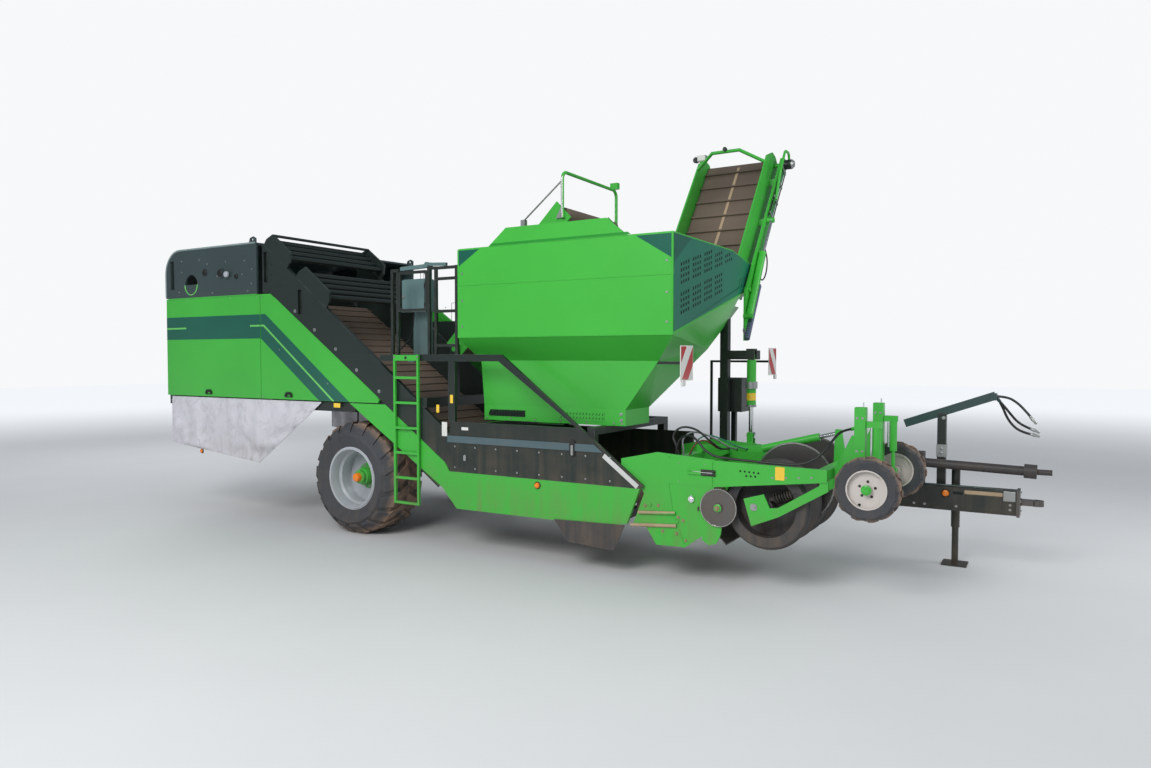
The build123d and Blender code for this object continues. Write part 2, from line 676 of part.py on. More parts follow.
# ---------------------------------------------------------------- webs and crop path
def front_web():
    right = -FRAME_OUT + FRAME_TUBE
    rear = (CROSS_X[0] + CROSS_TUBE / 2, 850)
    front = (CROSS_X[1] + CROSS_TUBE / 2, 740)
    y = (right + RUNNING_GAP, CHANNEL_LEFT_Y - RUNNING_GAP)
    shape = belt_loop(rear, front, WEB_PULLEY, *y) + cleats(rear, front, WEB_PULLEY, *y, WEB_PITCH, CLEAT_HEIGHT)
    for x, z in (rear, front):
        shape += drum(x, z, right, CHANNEL_LEFT_Y, SHAFT_DIA)
    return shape


def second_web():
    right = -FRAME_OUT + LINER
    foot, head = (1560, 905), (-1500, 3000)
    y = (right + RUNNING_GAP, CHANNEL_LEFT_Y - RUNNING_GAP)
    shape = belt_loop(head, foot, WEB_PULLEY, *y) + cleats(head, foot, WEB_PULLEY, *y, WEB_PITCH, CLEAT_HEIGHT)
    for x, z in (foot, head):
        shape += drum(x, z, right, CHANNEL_LEFT_Y, SHAFT_DIA)
    return shape


def haulm_rollers():
    """Two roller modules that strip the haulm over the second web, on side plates along the ridge."""
    y0, y1 = -SIDE_Y, RAIL_Y[0]
    ridge = Vector(RIDGE_TOP[0], 0, RIDGE_TOP[1])
    run = Vector(RIDGE_FOOT[0] - RIDGE_TOP[0], 0, RIDGE_FOOT[1] - RIDGE_TOP[1]).normalized()
    up = Vector(-run.Z, 0, run.X)

    def at(along, above):
        point = ridge + run * along + up * above
        return point.X, point.Z

    shape = None
    for start, count in HAULM_MODULES:
        end = start + count * HAULM_PITCH + 60
        outline = [at(start, 0), at(start, 90), at(start + 70, HAULM_PLATE), at(end - 70, HAULM_PLATE), at(end, 90),
                   at(end, 0)]
        for y in ((y0, y0 + 30), (y1 - 30, y1)):
            side = plate_xz(outline, *y)
            shape = side if shape is None else shape + side
        for i in range(int(count)):
            x, z = at(start + 30 + (i + 0.5) * HAULM_PITCH, HAULM_ROLLER_RISE)
            shape += drum(x, z, y0 + 15, y1 - 15, HAULM_ROLLER)
    x, z = at(HAULM_MODULES[0][0] + 90, HAULM_PLATE - 10)
    return shape + drum(x, z, y0 + 15, y1 - 15, 40)


def rear_separator():
    """Rollers along the machine that move the crop to the left, in a frame on the strip."""
    z = 2500
    x0, x1 = REAR_X + 30 + FRAME_TUBE, SEAM_X - FRAME_TUBE
    shape = None
    for x in (x0, x1 - 40):
        rail = block((x, x + 40), (-FRAME_OUT + FRAME_TUBE, FRAME_OUT - FRAME_TUBE), (z - 60, z + 60))
        shape = rail if shape is None else shape + rail
    for i in range(10):
        y = -1350 + i * 300
        shape += rod((x0 + 20, y, z), (x1 - 20, y, z), 110)
    for side in (RIGHT, LEFT):
        for x in (x0, x1 - 40):
            shape += block((x, x + 40), side_span(side, FRAME_OUT, FRAME_TUBE), (z - 60, z + 60))
    return shape


def picking_table():
    """The picking belt at the left side, on legs from the channel wall and the fender."""
    rear, front = (SEAM_X + 120, PICKING_Z), (880, PICKING_Z)
    belt_y = (PICKING_Y[0] + 30, PICKING_Y[1] - 30)
    shape = belt_loop(rear, front, 70, *belt_y)
    for y in PICKING_Y:
        inward = 20 if y == PICKING_Y[0] else -20
        shape += block((rear[0] - 70, front[0] + 70), (y, y + inward), (PICKING_Z - 140, PICKING_Z + 240))
    for x, z in (rear, front):
        shape += drum(x, z, PICKING_Y[0], PICKING_Y[1], SHAFT_DIA)
    # Cross bars under the belt, carried by the channel wall and by legs from the strip
    leg_y = (PICKING_Y[1], PICKING_Y[1] + 60)
    for x in (-1300, -150):
        shape += block((x, x + 60), (RAIL_Y[0], leg_y[1]), (PICKING_Z - 200, PICKING_Z - 140))
        shape += block((x, x + 60), leg_y, (STRIP[1], PICKING_Z - 140))
    return shape


def cross_feed():
    """The cross belt from the picking table to the foot of the fill conveyor."""
    x0, x1 = CROSS_FEED_X
    belt = block((x0 + 20, x1 - 20), (420, 1500), (CROSS_FEED_Z - 60, CROSS_FEED_Z + 60))
    belt -= block((x0 + 19, x1 - 19), (480, 1440), (CROSS_FEED_Z - 36, CROSS_FEED_Z + 36))
    shape = belt
    for x in (x0, x1 - 20):
        shape += block((x, x + 20), (420, 1560), (CROSS_FEED_Z - 100, CROSS_FEED_Z + 60))
    shape += block((x0, x1), (1540, 1560), (CROSS_FEED_Z - 100, CROSS_FEED_Z + 300))
    for y in (460, 1480):
        shape += block((x1 - 80, x1 - 20), (y, y + 60), (RAIL_Z[1] + 40, CROSS_FEED_Z - 60))
    shape += block((x1 - 80, x1 - 20), (RAIL_Y[1], 1540), (RAIL_Z[1] - 40, RAIL_Z[1] + 40))
    return shape


def fill_conveyor():
    """The belt that climbs forward into the bunker, between side plates."""
    y0, y1 = FILL_Y
    belt_y = (y0 + 40, y1 - 40)
    shape = belt_loop(FILL_FOOT, FILL_HEAD, WEB_PULLEY, *belt_y)
    shape += cleats(FILL_FOOT, FILL_HEAD, WEB_PULLEY, *belt_y, FILL_PITCH, 2 * CLEAT_HEIGHT)
    dx, dz = FILL_HEAD[0] - FILL_FOOT[0], FILL_HEAD[1] - FILL_FOOT[1]
    length = hypot(dx, dz)
    nx, nz = -dz / length, dx / length
    outline = []
    for (x, z), along, across in ((FILL_FOOT, -60, -110), (FILL_HEAD, 60, -110), (FILL_HEAD, 60, 170),
                                  (FILL_FOOT, -60, 170)):
        outline.append((x + dx / length * along + nx * across, z + dz / length * along + nz * across))
    for y in (y0, y1 - 20):
        shape += plate_xz(outline, y, y + 20)
    shape += drum(*FILL_HEAD, y0, y1, SHAFT_DIA)
    reach = RUNNING_GAP + FILL_UPRIGHT
    shape += drum(*FILL_FOOT, y0 - reach, y1 + reach, SHAFT_DIA)
    return shape


def fill_mount():
    """Uprights with the bearings of the fill conveyor's foot shaft, on a beam saddled over the channel's walls."""
    x, z = FILL_FOOT
    low, high = RIDGE_FOOT[1] - 60, RIDGE_FOOT[1] + 60
    right, left = FILL_Y[0] - RUNNING_GAP, FILL_Y[1] + RUNNING_GAP
    shape = block((x - 60, x + 60), (-SIDE_Y, left + FILL_UPRIGHT), (low, high))
    for y0, y1 in ((right - FILL_UPRIGHT, right), (left, left + FILL_UPRIGHT)):
        shape += block((x - 60, x + 60), (y0, y1), (high, z + 60))
        shape -= drum(x, z, y0 - 1, y1 + 1, SHAFT_DIA + 2)
    return shape - slope_wall_right() - channel_wall_left()


def hoop_guard():
    """The guard hoop over the conveyor's head, on three-cornered feet, with its strut."""
    x, z = FILL_HEAD
    right, left = FILL_Y[0] - HOOP_DIA / 2 - 3, FILL_Y[1] + HOOP_DIA / 2 + 3
    x += 20
    corners = [(x, right, z - 40), (x, right, z + 500), (x, left, z + 500), (x, left, z - 40)]
    shape = bent_tube(corners, 90, HOOP_DIA)
    for y, side in ((right, FILL_Y[0]), (left, FILL_Y[1])):
        shape += plate_xz([(x - 90, z - 40), (x + 30, z - 40), (x, z + 130)], y, side)
    shape += rod((x, right, z + 400), (x - HOOP_STRUT, right, z - 40), HOOP_DIA / 2)
    # Bracket of the strut's foot, with the belt's motor
    shape += block((x - HOOP_STRUT - 30, x - HOOP_STRUT + 30), (right - 12, FILL_Y[0] + 20), (z - 300, z - 20))
    shape += drum(x - HOOP_STRUT, z - 200, right - 150, right - 12, 130)
    return shape + Pos(x, left - 40, z + 555) * Box(110, 60, 80)


# ---------------------------------------------------------------- bunker


def left_slope_y(z):
    """Y of the outer face of the bunker's left slope at a height."""
    return BASE_Y[1] + (z - BUNKER_BASE_Z) * (BUNKER_LEFT_Y - BASE_Y[1]) / (BUNKER_FOLD_LEFT_Z - BUNKER_BASE_Z)


def hopper(inset, top):
    """The bunker's outline, moved inwards by inset and open at the given top."""
    x0, x1 = BUNKER_X[0] + inset, BUNKER_X[1] - inset
    near, far = -SIDE_Y + inset, BUNKER_LEFT_Y - inset
    upper = plate_yz([(near, top), (near, BUNKER_FOLD_Z), (far, BUNKER_FOLD_LEFT_Z), (far, top)], x0, x1)
    far_b = RING_B_LEFT_Y - inset
    far_b_z = BUNKER_BASE_Z + (RING_B_LEFT_Y - BASE_Y[1]) * (BUNKER_FOLD_LEFT_Z - BUNKER_BASE_Z) / (
        BUNKER_LEFT_Y - BASE_Y[1])
    ring_a = _ring(x0, x1, (near, BUNKER_FOLD_Z), (far, BUNKER_FOLD_LEFT_Z))
    ring_b = _ring(RING_B_X[0] + inset, RING_B_X[1] - inset, (RING_B_Y + inset, RING_B_Z), (far_b, far_b_z))
    ring_c = _ring(RING_C_X[0] + inset, RING_C_X[1] - inset, (BASE_Y[0] + inset, BUNKER_BASE_Z),
                   (BASE_Y[1] - inset, BUNKER_BASE_Z))
    return upper + polyhedron([ring_a, ring_b]) + polyhedron([ring_b, ring_c])


def _ring(x0, x1, near, far):
    """Four corners of a folding line round the bunker, from its near to its far side."""
    return [(x0, *near), (x1, *near), (x1, *far), (x0, *far)]


def bunker_shell():
    outer = hopper(0, BUNKER_TOP_Z)
    inner = hopper(BUNKER_WALL, BUNKER_TOP_Z + 1)
    shell = outer - inner
    # The left side is lower in front and cut down for the elevator
    above = BUNKER_TOP_Z + 120
    shell -= block((ELEVATOR_X[0] - 40, BUNKER_X[1] - BUNKER_WALL), (380, BUNKER_LEFT_Y + 1), (2940, above))
    shell -= plate_yz([(100, BUNKER_TOP_Z), (BUNKER_LEFT_Y + 1, 3455), (BUNKER_LEFT_Y + 1, above), (100, above)],
                      ELEVATOR_X[0] - 40, BUNKER_X[1] + 1)
    # Bearing plate of the elevator's hinge, standing on the left slope
    y, z = ELEVATOR_HINGE
    x1 = ELEVATOR_X[0] - RUNNING_GAP
    bearing = block((x1 - 30, x1), (y - 80, y + 80), (z - 500, z + 80)) - hopper(0, BUNKER_TOP_Z + 1)
    bearing = block((x1 - 30, x1), (y - 80, y + 80), (z - 500, z + 80)) - bearing
    shell += bearing
    shell -= rod((x1 - 31, y, z), (BUNKER_X[1] + 1, y, z), SHAFT_DIA + 2 * SEAT)
    # Gap in the rear wall for the fill conveyor
    shell -= block((BUNKER_X[0] - 1, BUNKER_X[0] + 300), (FILL_Y[0] - 20, FILL_Y[1] + 20), (2640, above))
    return shell


def bunker_base():
    """The flange under the bunker."""
    y0, y1 = BASE_Y
    outer = block(RING_C_X, BASE_Y, (BUNKER_BASE_Z - 180, BUNKER_BASE_Z))
    inner = block((RING_C_X[0] + 30, RING_C_X[1] - 30), (y0 + 30, y1 - 30), (BUNKER_BASE_Z - 150, BUNKER_BASE_Z + 1))
    return outer - inner


def bunker_floor():
    """The slatted floor belt in the bunker's bottom."""
    z = BUNKER_BASE_Z - 90
    y = (BASE_Y[0] + 50, BASE_Y[1] - 50)
    shape = belt_loop((RING_C_X[0] + 130, z), (RING_C_X[1] - 130, z), 55, *y)
    for x in (RING_C_X[0] + 130, RING_C_X[1] - 130):
        shape += drum(x, z, BASE_Y[0] + 30, BASE_Y[1] - 30, 40)
    return shape


def bunker_flap():
    """The raised edge on the bunker's right wall, hinged along the wall's top."""
    z = BUNKER_TOP_Z + FLAP_HINGE_RISE
    x0, x1 = FLAP_X
    inner = -SIDE_Y + FLAP_THICK
    outline = [(x0, z), (x1, z), (x1 - 250, z + FLAP_HEIGHT), (x0 + 250, z + FLAP_HEIGHT)]
    hinge = rod((x0 + 60, inner, z), (x1 - 60, inner, z), 2 * (FLAP_HINGE_RISE - SEAT))
    return plate_xz(outline, -SIDE_Y, inner) + hinge


def bunker_supports():
    """Cross beams under the bunker's base on posts from the sill and the left rail, and the front post."""
    beam_z = (BUNKER_BASE_Z - 260, BUNKER_BASE_Z - 180)
    shape = None
    for x in (2150, 3550):
        beam = block((x, x + 90), (-FRAME_OUT, RAIL_Y[1]), beam_z)
        shape = beam if shape is None else shape + beam
        shape += block((x, x + 90), (-FRAME_OUT, -FRAME_OUT + FRAME_TUBE), (SILL[1], beam_z[0]))
        shape += block((x, x + 90), (RAIL_Y[0], RAIL_Y[1]), (RAIL_Z[1], beam_z[0]))
    shape += block((2150, 3640), (RAIL_Y[0], RAIL_Y[1]), beam_z)
    front = block(FRONT_POST_X, FRONT_POST_Y, (RAIL_Z[1], 2900)) - hopper(0, BUNKER_TOP_Z)
    return Compound([*shape.solids(), *front.solids()])


def elevator_at(run, rise):
    """The (y, z) point at a distance along the elevator's belt line and above it."""
    hy, hz = ELEVATOR_HINGE
    a = radians(ELEVATOR_ANGLE)
    return hy + cos(a) * run - sin(a) * rise, hz + sin(a) * run + cos(a) * rise


def discharge_frame():
    """Side plates, drums and arch of the folding elevator, and the outer arm in front of the bunker's wall."""
    at = elevator_at
    end = ELEVATOR_LENGTH
    x0, x1 = ELEVATOR_X
    outline = [at(-90, -90), at(end + 90, -90), at(end + 110, 60), at(end + 60, 190), at(end - 150, 330), at(200, 320),
               at(-90, 100)]
    shape = None
    for x in (x0, x1 - ELEVATOR_SIDE):
        plate = plate_yz(outline, x, x + ELEVATOR_SIDE)
        shape = plate if shape is None else shape + plate
    # Hinge shaft, through the front wall to the outer arm, and the head drum's shaft
    arm_x0, arm_x1 = OUTER_ARM_X
    shape += rod((x0 - RUNNING_GAP - 30, *at(0, 0)), (arm_x1 + 20, *at(0, 0)), SHAFT_DIA)
    shape += rod((x0, *at(end, 0)), (arm_x1, *at(end, 0)), SHAFT_DIA)
    # Arch over the belt
    run = end - 260
    feet = [(x0 + 10, *at(run, 310)), (x0 + 300, *at(run, 560)), (x1 - 300, *at(run, 560)), (x1 - 10, *at(run, 310))]
    for p, q in zip(feet, feet[1:]):
        shape += rod(p, q, 45)
    for p in feet[1:3]:
        shape += Pos(*p) * Sphere(22.5)
    # Lamp and its bracket at the top of the rear plate
    shape += block((x0 - 20, x0 + ELEVATOR_SIDE), _span(at(end - 40, 200)[0], 60), _span(at(end - 40, 200)[1], 120))
    shape += block((x0 - 60, x0 + 60), _span(at(end + 20, 270)[0], 45), _span(at(end + 20, 270)[1], 40))
    return shape + outer_arm()


def _span(middle, half):
    return middle - half, middle + half


def outer_arm():
    """The arm in front of the bunker's wall, with the fold cylinder, the head motor and its guard rail."""
    at = elevator_at
    end = ELEVATOR_LENGTH
    x0, x1 = OUTER_ARM_X
    tail_y, tail_z = ARM_TAIL
    knee = at(120, -150)
    outline = [(tail_y - 45, tail_z), (tail_y + 60, tail_z), knee, at(end - 400, -120), at(end + 150, -140),
               at(end + 80, 60), at(end - 420, 60), at(160, 60), at(-110, 60)]
    shape = plate_yz(outline, x0, x1)
    # Spacers to the front side plate, above the wall
    for run in ARM_SPACERS:
        y, z = at(run, 0)
        shape += block((ELEVATOR_X[1] - ELEVATOR_SIDE, x0), (y - 30, y + 30), (z - 40, z + 40))
    # Fold cylinder between its two lugs
    x = x1 + FOLD_BARREL / 2
    (ya, za), (yb, zb), (yc, zc) = at(-330, -110), at(620, -10), at(1180, 0)
    shape += rod((x, ya, za), (x, yb, zb), FOLD_BARREL) + rod((x, yb, zb), (x, yc, zc), FOLD_ROD)
    for y, z in ((ya, za), (yc, zc)):
        shape += rod((x0 + 5, y, z), (x + 40, y, z), 70)
    # Head motor on the drum's shaft, and the bent guard rail round it
    y, z = at(end, 0)
    shape += rod((x1, y, z), (x1 + 130, y, z), HEAD_MOTOR_DIA) + rod((x1, y, z), (x1 + 30, y, z), 180)
    route = [(x1 + 50, *at(end - 700, 30)), (x1 + 70, *at(end - 300, 170)), (x1 + 70, *at(end + 60, 190)),
             (x1 + 60, *at(end + 190, 40)), (x1 + 50, *at(end + 120, -110))]
    shape += bent_tube(route, 80, 34)
    for point in (at(end - 700, 30), at(end + 120, -110)):
        shape += rod((x0 + 5, *point), (x1 + 50, *point), 34)
    return shape


def discharge_belt():
    """The slatted belt of the elevator, with its two rollers on the hinge shaft and the head shaft."""
    x0, x1 = ELEVATOR_X[0] + ELEVATOR_SIDE + 8, ELEVATOR_X[1] - ELEVATOR_SIDE - 8
    end = ELEVATOR_LENGTH
    shape = None
    for radius, grow in ((ELEVATOR_PULLEY, 0), (ELEVATOR_PULLEY - BELT_THICK, 1)):
        corners = [elevator_at(0, radius), elevator_at(end, radius), elevator_at(end, -radius), elevator_at(0, -radius)]
        core = plate_yz(corners, x0 - grow, x1 + grow)
        for run in (0, end):
            core += rod((x0 - grow, *elevator_at(run, 0)), (x1 + grow, *elevator_at(run, 0)), 2 * radius)
        shape = core if shape is None else shape - core
    for run in (0, end):
        y, z = elevator_at(run, 0)
        roller = rod((x0, y, z), (x1, y, z), 2 * (ELEVATOR_PULLEY - BELT_THICK))
        shape += roller - rod((x0 - 1, y, z), (x1 + 1, y, z), SHAFT_DIA + 2 * SEAT)
    a = radians(ELEVATOR_ANGLE)
    rise = ELEVATOR_PULLEY + CLEAT_HEIGHT - 2
    count = int(end // ELEVATOR_PITCH)
    slats = []
    for i in range(count):
        y, z = elevator_at((i + 0.5) * end / count, rise)
        slats.append(bar((x0, y, z), (x1, y, z), CLEAT_WIDTH, 2 * CLEAT_HEIGHT + 4, (0, cos(a), sin(a))))
    return shape + slats


# ---------------------------------------------------------------- platform side
def platform():
    """Dark platform beam with its deck, the post to the panel and the brace down to the sill's front."""
    x0, x1 = PLATFORM_X
    edge_y = side_span(RIGHT, SIDE_Y, WALL)
    beam = block((x0, x1), edge_y, (PLATFORM_Z - 80, PLATFORM_Z))
    deck = block((x0, DECK_FRONT_X), (-FRAME_OUT, DECK_INNER_Y), (PLATFORM_Z - 40, PLATFORM_Z))
    post = block((1650, 1750), edge_y, (PANEL_TOP_Z, PLATFORM_Z - 80))
    return beam + deck + post - slope_wall_right()


def slope_top(x):
    (x0, z0), (x1, z1) = RIDGE_TOP, RIDGE_FOOT
    return z0 + (x - x0) * (z1 - z0) / (x1 - x0)


def platform_brace():
    y = side_span(RIGHT, SIDE_Y, WALL)
    outline = [(PLATFORM_X[1], PLATFORM_Z), (PLATFORM_X[1], PLATFORM_Z - 80), (3420, PANEL_TOP_Z + 12),
               (3440, PANEL_TOP_Z), (4200, SILL_Z), (4240, SILL_Z + 30), (PLATFORM_X[1] + 40, PLATFORM_Z)]
    return plate_xz(outline, *y)


def railing():
    """Grab rails at both sides of the ladder, the guard loop between them and the side rails to the bunker."""
    y = -SIDE_Y + WALL / 2
    half = RAILING_DIA / 2
    span = (y - half, y + half)
    top = PLATFORM_Z + RAILING_HEIGHT
    shape = None
    for x in RAILING_X:
        post = block((x - half, x + half), span, (PLATFORM_Z, top))
        shape = post if shape is None else shape + post
    for x0, x1 in (RAILING_X[:2], RAILING_X[2:]):
        shape += block((x0, x1), span, (top - RAILING_DIA, top))
    for rise in SIDE_RAILS:
        z = PLATFORM_Z + rise
        shape += block((RAILING_X[3], BUNKER_X[0] - RUNNING_GAP), span, (z - half, z + half))
    shape += block((BUNKER_X[0] - RUNNING_GAP - RAILING_DIA, BUNKER_X[0] - RUNNING_GAP), span, (PLATFORM_Z, top))
    # The loop between the posts
    x0, x1 = RAILING_X[1] + half, RAILING_X[2] - half
    z0, z1 = top - LOOP_HEIGHT, top - RAILING_DIA
    loop = block((x0, x1), span, (z0, z1))
    loop -= block((x0 + RAILING_DIA, x1 - RAILING_DIA), (span[0] - 1, span[1] + 1), (z0 + RAILING_DIA, z1 - RAILING_DIA))
    return shape + fillet(loop.edges().filter_by(Axis.Y), RAILING_DIA * 0.9)


def control_cabinet():
    """The control cabinet on its stand, with the folded swing arm above it."""
    (x0, x1), (y0, y1), (z0, z1) = CABINET_X, CABINET_Y, CABINET_Z
    shape = block(CABINET_X, CABINET_Y, CABINET_Z)
    shape += block((x0 + 20, x1 - 20), (y0 + 20, y1 - 20), (z1, z1 + 12))
    shape += block((x0 + 60, x1 - 60), (y1 - 40, y1), (PLATFORM_Z, z0))
    # Swing arm: a post at the cabinet's back, the outer bar and the inner bar folded beside it
    shape += rod((x1 - 60, y1 - 40, z1), (x1 - 60, y1 - 40, z1 + 190), 50)
    shape += bar((x1 - 60, y1 - 40, z1 + 190), (x0 - 150, y1 - 40, z1 + 170), 40, 50)
    shape += bar((x1 - 60, y1 - 95, z1 + 200), (x1 + 260, y1 - 95, z1 + 185), 40, 40)
    return shape + rod((x1 - 60, y1 - 120, z1 + 195), (x1 - 60, y1 - 20, z1 + 195), 70)


def ladder():
    """Square-tube ladder hung from the platform beam."""
    x0, x1 = LADDER_X
    y = (-SIDE_Y - LADDER_GAP - LADDER_TUBE, -SIDE_Y - LADDER_GAP)
    shape = None
    for x in (x0, x1 - LADDER_TUBE):
        rail = block((x, x + LADDER_TUBE), y, (LADDER_FOOT_Z, PLATFORM_Z))
        shape = rail if shape is None else shape + rail
    for i in range(RUNGS):
        z = LADDER_FOOT_Z + i * RUNG_PITCH
        shape += block((x0 + LADDER_TUBE, x1 - LADDER_TUBE), y, (z, z + LADDER_TUBE))
    z = PLATFORM_Z - 40
    shape += block((x0, x1), y, (z - 35, z + 35))
    shape -= drum((x0 + x1) / 2, z, y[0] - 1, y[1] + 1, 42)
    return shape


def ladder_pin():
    x, z = sum(LADDER_X) / 2, PLATFORM_Z - 40
    return drum(x, z, -SIDE_Y - LADDER_GAP - LADDER_TUBE, -SIDE_Y, 40)


# ---------------------------------------------------------------- front equipment on the frame
def hydraulic_tank():
    tank = block((4250, 4560), (480, 760), (1640, 2060))
    leg = block((4380, 4440), (600, 660), (RAIL_Z[1], 1640))
    return tank + leg


def lift_arm():
    """The arm on the front post, with the fork and pin that the lift cylinder hangs from."""
    x, y = LIFT_XY
    arm_z = (LIFT_TOP_Z - 50, LIFT_TOP_Z + 60)
    shape = block((FRONT_POST_X[1], x + 50), (FRONT_POST_Y[0] + 10, FRONT_POST_Y[1] - 10), arm_z)
    for gap in (-LIFT_FORK, LIFT_FORK - 20):
        shape += block((x - 50, x + 50), (y + gap, y + gap + 20), arm_z)
    shape += block((x - 50, x + 50), (y + LIFT_FORK, FRONT_POST_Y[0] + 10), arm_z)
    shape += block((x - 50, x + 50), (y - LIFT_FORK, y + LIFT_FORK), (arm_z[1], arm_z[1] + 20))
    return shape + drum(x, LIFT_TOP_Z, y - LIFT_FORK, y + LIFT_FORK, LIFT_PIN)


def lift_barrel():
    """The digger's lift cylinder, hung by its top eye."""
    x, y = LIFT_XY
    low = LIFT_TOP_Z - 620
    shape = rod((x, y, low), (x, y, LIFT_TOP_Z - 55), LIFT_DIA)
    shape += block((x - 35, x + 35), (y - LIFT_EYE / 2, y + LIFT_EYE / 2), (LIFT_TOP_Z - 56, LIFT_TOP_Z))
    shape += drum(x, LIFT_TOP_Z, y - LIFT_EYE / 2, y + LIFT_EYE / 2, 70)
    shape -= drum(x, LIFT_TOP_Z, y - LIFT_EYE, y + LIFT_EYE, LIFT_PIN + 1)
    return shape - rod((x, y, low - 1), (x, y, LIFT_TOP_Z - 75), LIFT_ROD + 1)


def lift_rod():
    """The cylinder's rod; its open eye stands round the digger's pin with room to spare."""
    x, y = LIFT_XY
    shape = rod((x, y, LIFT_EYE_Z + 40), (x, y, LIFT_TOP_Z - 200), LIFT_ROD)
    shape += drum(x, LIFT_EYE_Z, y - LIFT_EYE / 2, y + LIFT_EYE / 2, 100)
    return shape - drum(x, LIFT_EYE_Z, y - LIFT_EYE, y + LIFT_EYE, LIFT_OPEN_EYE)


def warning_boards():
    """Two boards that face forward, on square tubes from the bunker's slope and from the left sill."""
    x, z = BOARD_X, BOARD_Z
    tube = 30
    shapes = []
    for side in (RIGHT, LEFT):
        board = block((x, x + 6), side_span(side, BOARD_OUT_Y, BOARD_SIZE[0]), (z - BOARD_SIZE[1] / 2, z + BOARD_SIZE[1] / 2))
        y = side * (BOARD_OUT_Y - BOARD_SIZE[0] + tube / 2)
        if side == RIGHT:
            stay = block((3900, x), (y - tube / 2, y + tube / 2), (z - 15, z + 15)) - hopper(0, BUNKER_TOP_Z)
        else:
            y = FRAME_OUT - FRAME_TUBE / 2
            stay = block((CROSS_X[1], x), (y - tube / 2, y + tube / 2), (z - 15, z + 15))
            stay += block((CROSS_X[1], CROSS_X[1] + tube), (y - tube / 2, y + tube / 2), (RAIL_Z[0] + 120, z - 15))
        shapes += (board + stay).solids()
    return Compound(shapes)


# ---------------------------------------------------------------- digger


def digger_beam(y, inner):
    """The long beam at one side of the digger, tapering to the front cross tube."""
    outline = [(4670, 1300), (BEAM_FRONT_X, 1275), (BEAM_FRONT_X, 1160), (5000, 1030), (4670, 1030)]
    return plate_xz(outline, y, y + inner * BEAM_THICK)


def digger_frame():
    """Side walls with their pivot arms, the long beams and the front cross tube."""
    px, pz = DIGGER_PIVOT
    wall = [(3960, 1250), (4370, 1340), (5000, 1300), (5000, 1030), (4940, 730), (4910, 550), (4690, 390),
            (4370, 380), (4260, 550), (4100, 560), (4230, 900), (4180, 985), (3960, 985)]
    shape = None
    y0, y1 = DIGGER_Y
    for y, inner in ((y0, 1), (y1, -1)):
        side = plate_xz(wall, y, y + inner * DIGGER_PLATE)
        side += block((px, 3960), (y, y + inner * DIGGER_PLATE), (pz - 65, pz + 65))
        side += drum(px, pz, y, y + inner * DIGGER_PLATE, 130)
        side -= drum(px, pz, y - inner, y + inner * (DIGGER_PLATE + 1), PIVOT_DIA + 2)
        side += digger_beam(y, inner)
        shape = side if shape is None else shape + side
    shape += block((BEAM_FRONT_X - 100, BEAM_FRONT_X), (y0, y1), CROSS_TUBE_Z)
    shape += block((4480, 4580), (y0, y1), (1180, 1280))
    # Knife plate, wear tube, depth guides and bolts on the right wall
    shape += plate_xz([(4900, 700), (5090, 700), (5070, 560), (5030, 470), (4950, 440), (4870, 490)], y0, y0 + 12)
    shape += rod((4170, y0 - 10, 700), (4590, y0 - 10, 730), WEAR_TUBE)
    shape += rod((4080, y0 - 6, 560), (4600, y0 - 6, 600), WEAR_TUBE)
    for z in GUIDE_Z:
        shape += rod((4720, y0 - 8, z), (5010, y0 - 8, z), 20)
    for (x, z), dia, proud in WALL_BOLTS:
        shape += drum(x, z, y0 - proud, y0, dia)
    # Flange plates over the wall's seams
    shape += block((4500, 4980), (y0 - 4, y0), (1030, 1285))
    # Press cylinder of the diabolo rollers, between a stay from the rear bar and a post on the front tube
    cy = PRESS_Y
    shape += bar((4500, cy, 1320), (5250, cy, 1350), 60, 60)
    shape += block((4500, 4560), (cy - 30, cy + 30), (1275, 1320))
    shape += rod((5240, cy, 1352), (5830, cy, 1505), PRESS_BARREL)
    shape += rod((5820, cy, 1502), (6010, cy, 1552), PRESS_BARREL / 2)
    shape += plate_xz([(BEAM_FRONT_X - 120, CROSS_TUBE_Z[1] - 10), (BEAM_FRONT_X, CROSS_TUBE_Z[1] - 10),
                       (BEAM_FRONT_X - 50, 1590), (BEAM_FRONT_X - 110, 1590)], cy - 25, cy + 25)
    # Bracket with the fork and pin for the lift cylinder's rod
    x, y = LIFT_XY
    shape += block((4580, x + 50), (y1 - DIGGER_PLATE, y1 + 60), (1180, 1280))
    shape += block((x - 50, x + 50), (y1, y + LIFT_FORK), (1180, 1280))
    for gap in (-LIFT_FORK, LIFT_FORK - 20):
        shape += block((x - 35, x + 35), (y + gap, y + gap + 20), (1280, LIFT_EYE_Z + 35))
    return shape + drum(x, LIFT_EYE_Z, y - LIFT_FORK, y + LIFT_FORK, LIFT_PIN)


def shares():
    """Share plates at the mouth of the digging web."""
    y0, y1 = DIGGER_Y[0] + DIGGER_PLATE, DIGGER_Y[1] - DIGGER_PLATE
    outline = [(4925, 640), (5110, 450), (5110, 462), (4935, 660)]
    shape = plate_xz(outline, y0 + 20, y1 - 20)
    shape += block((4900, 4940), (y0, y1), (620, 660))
    return shape


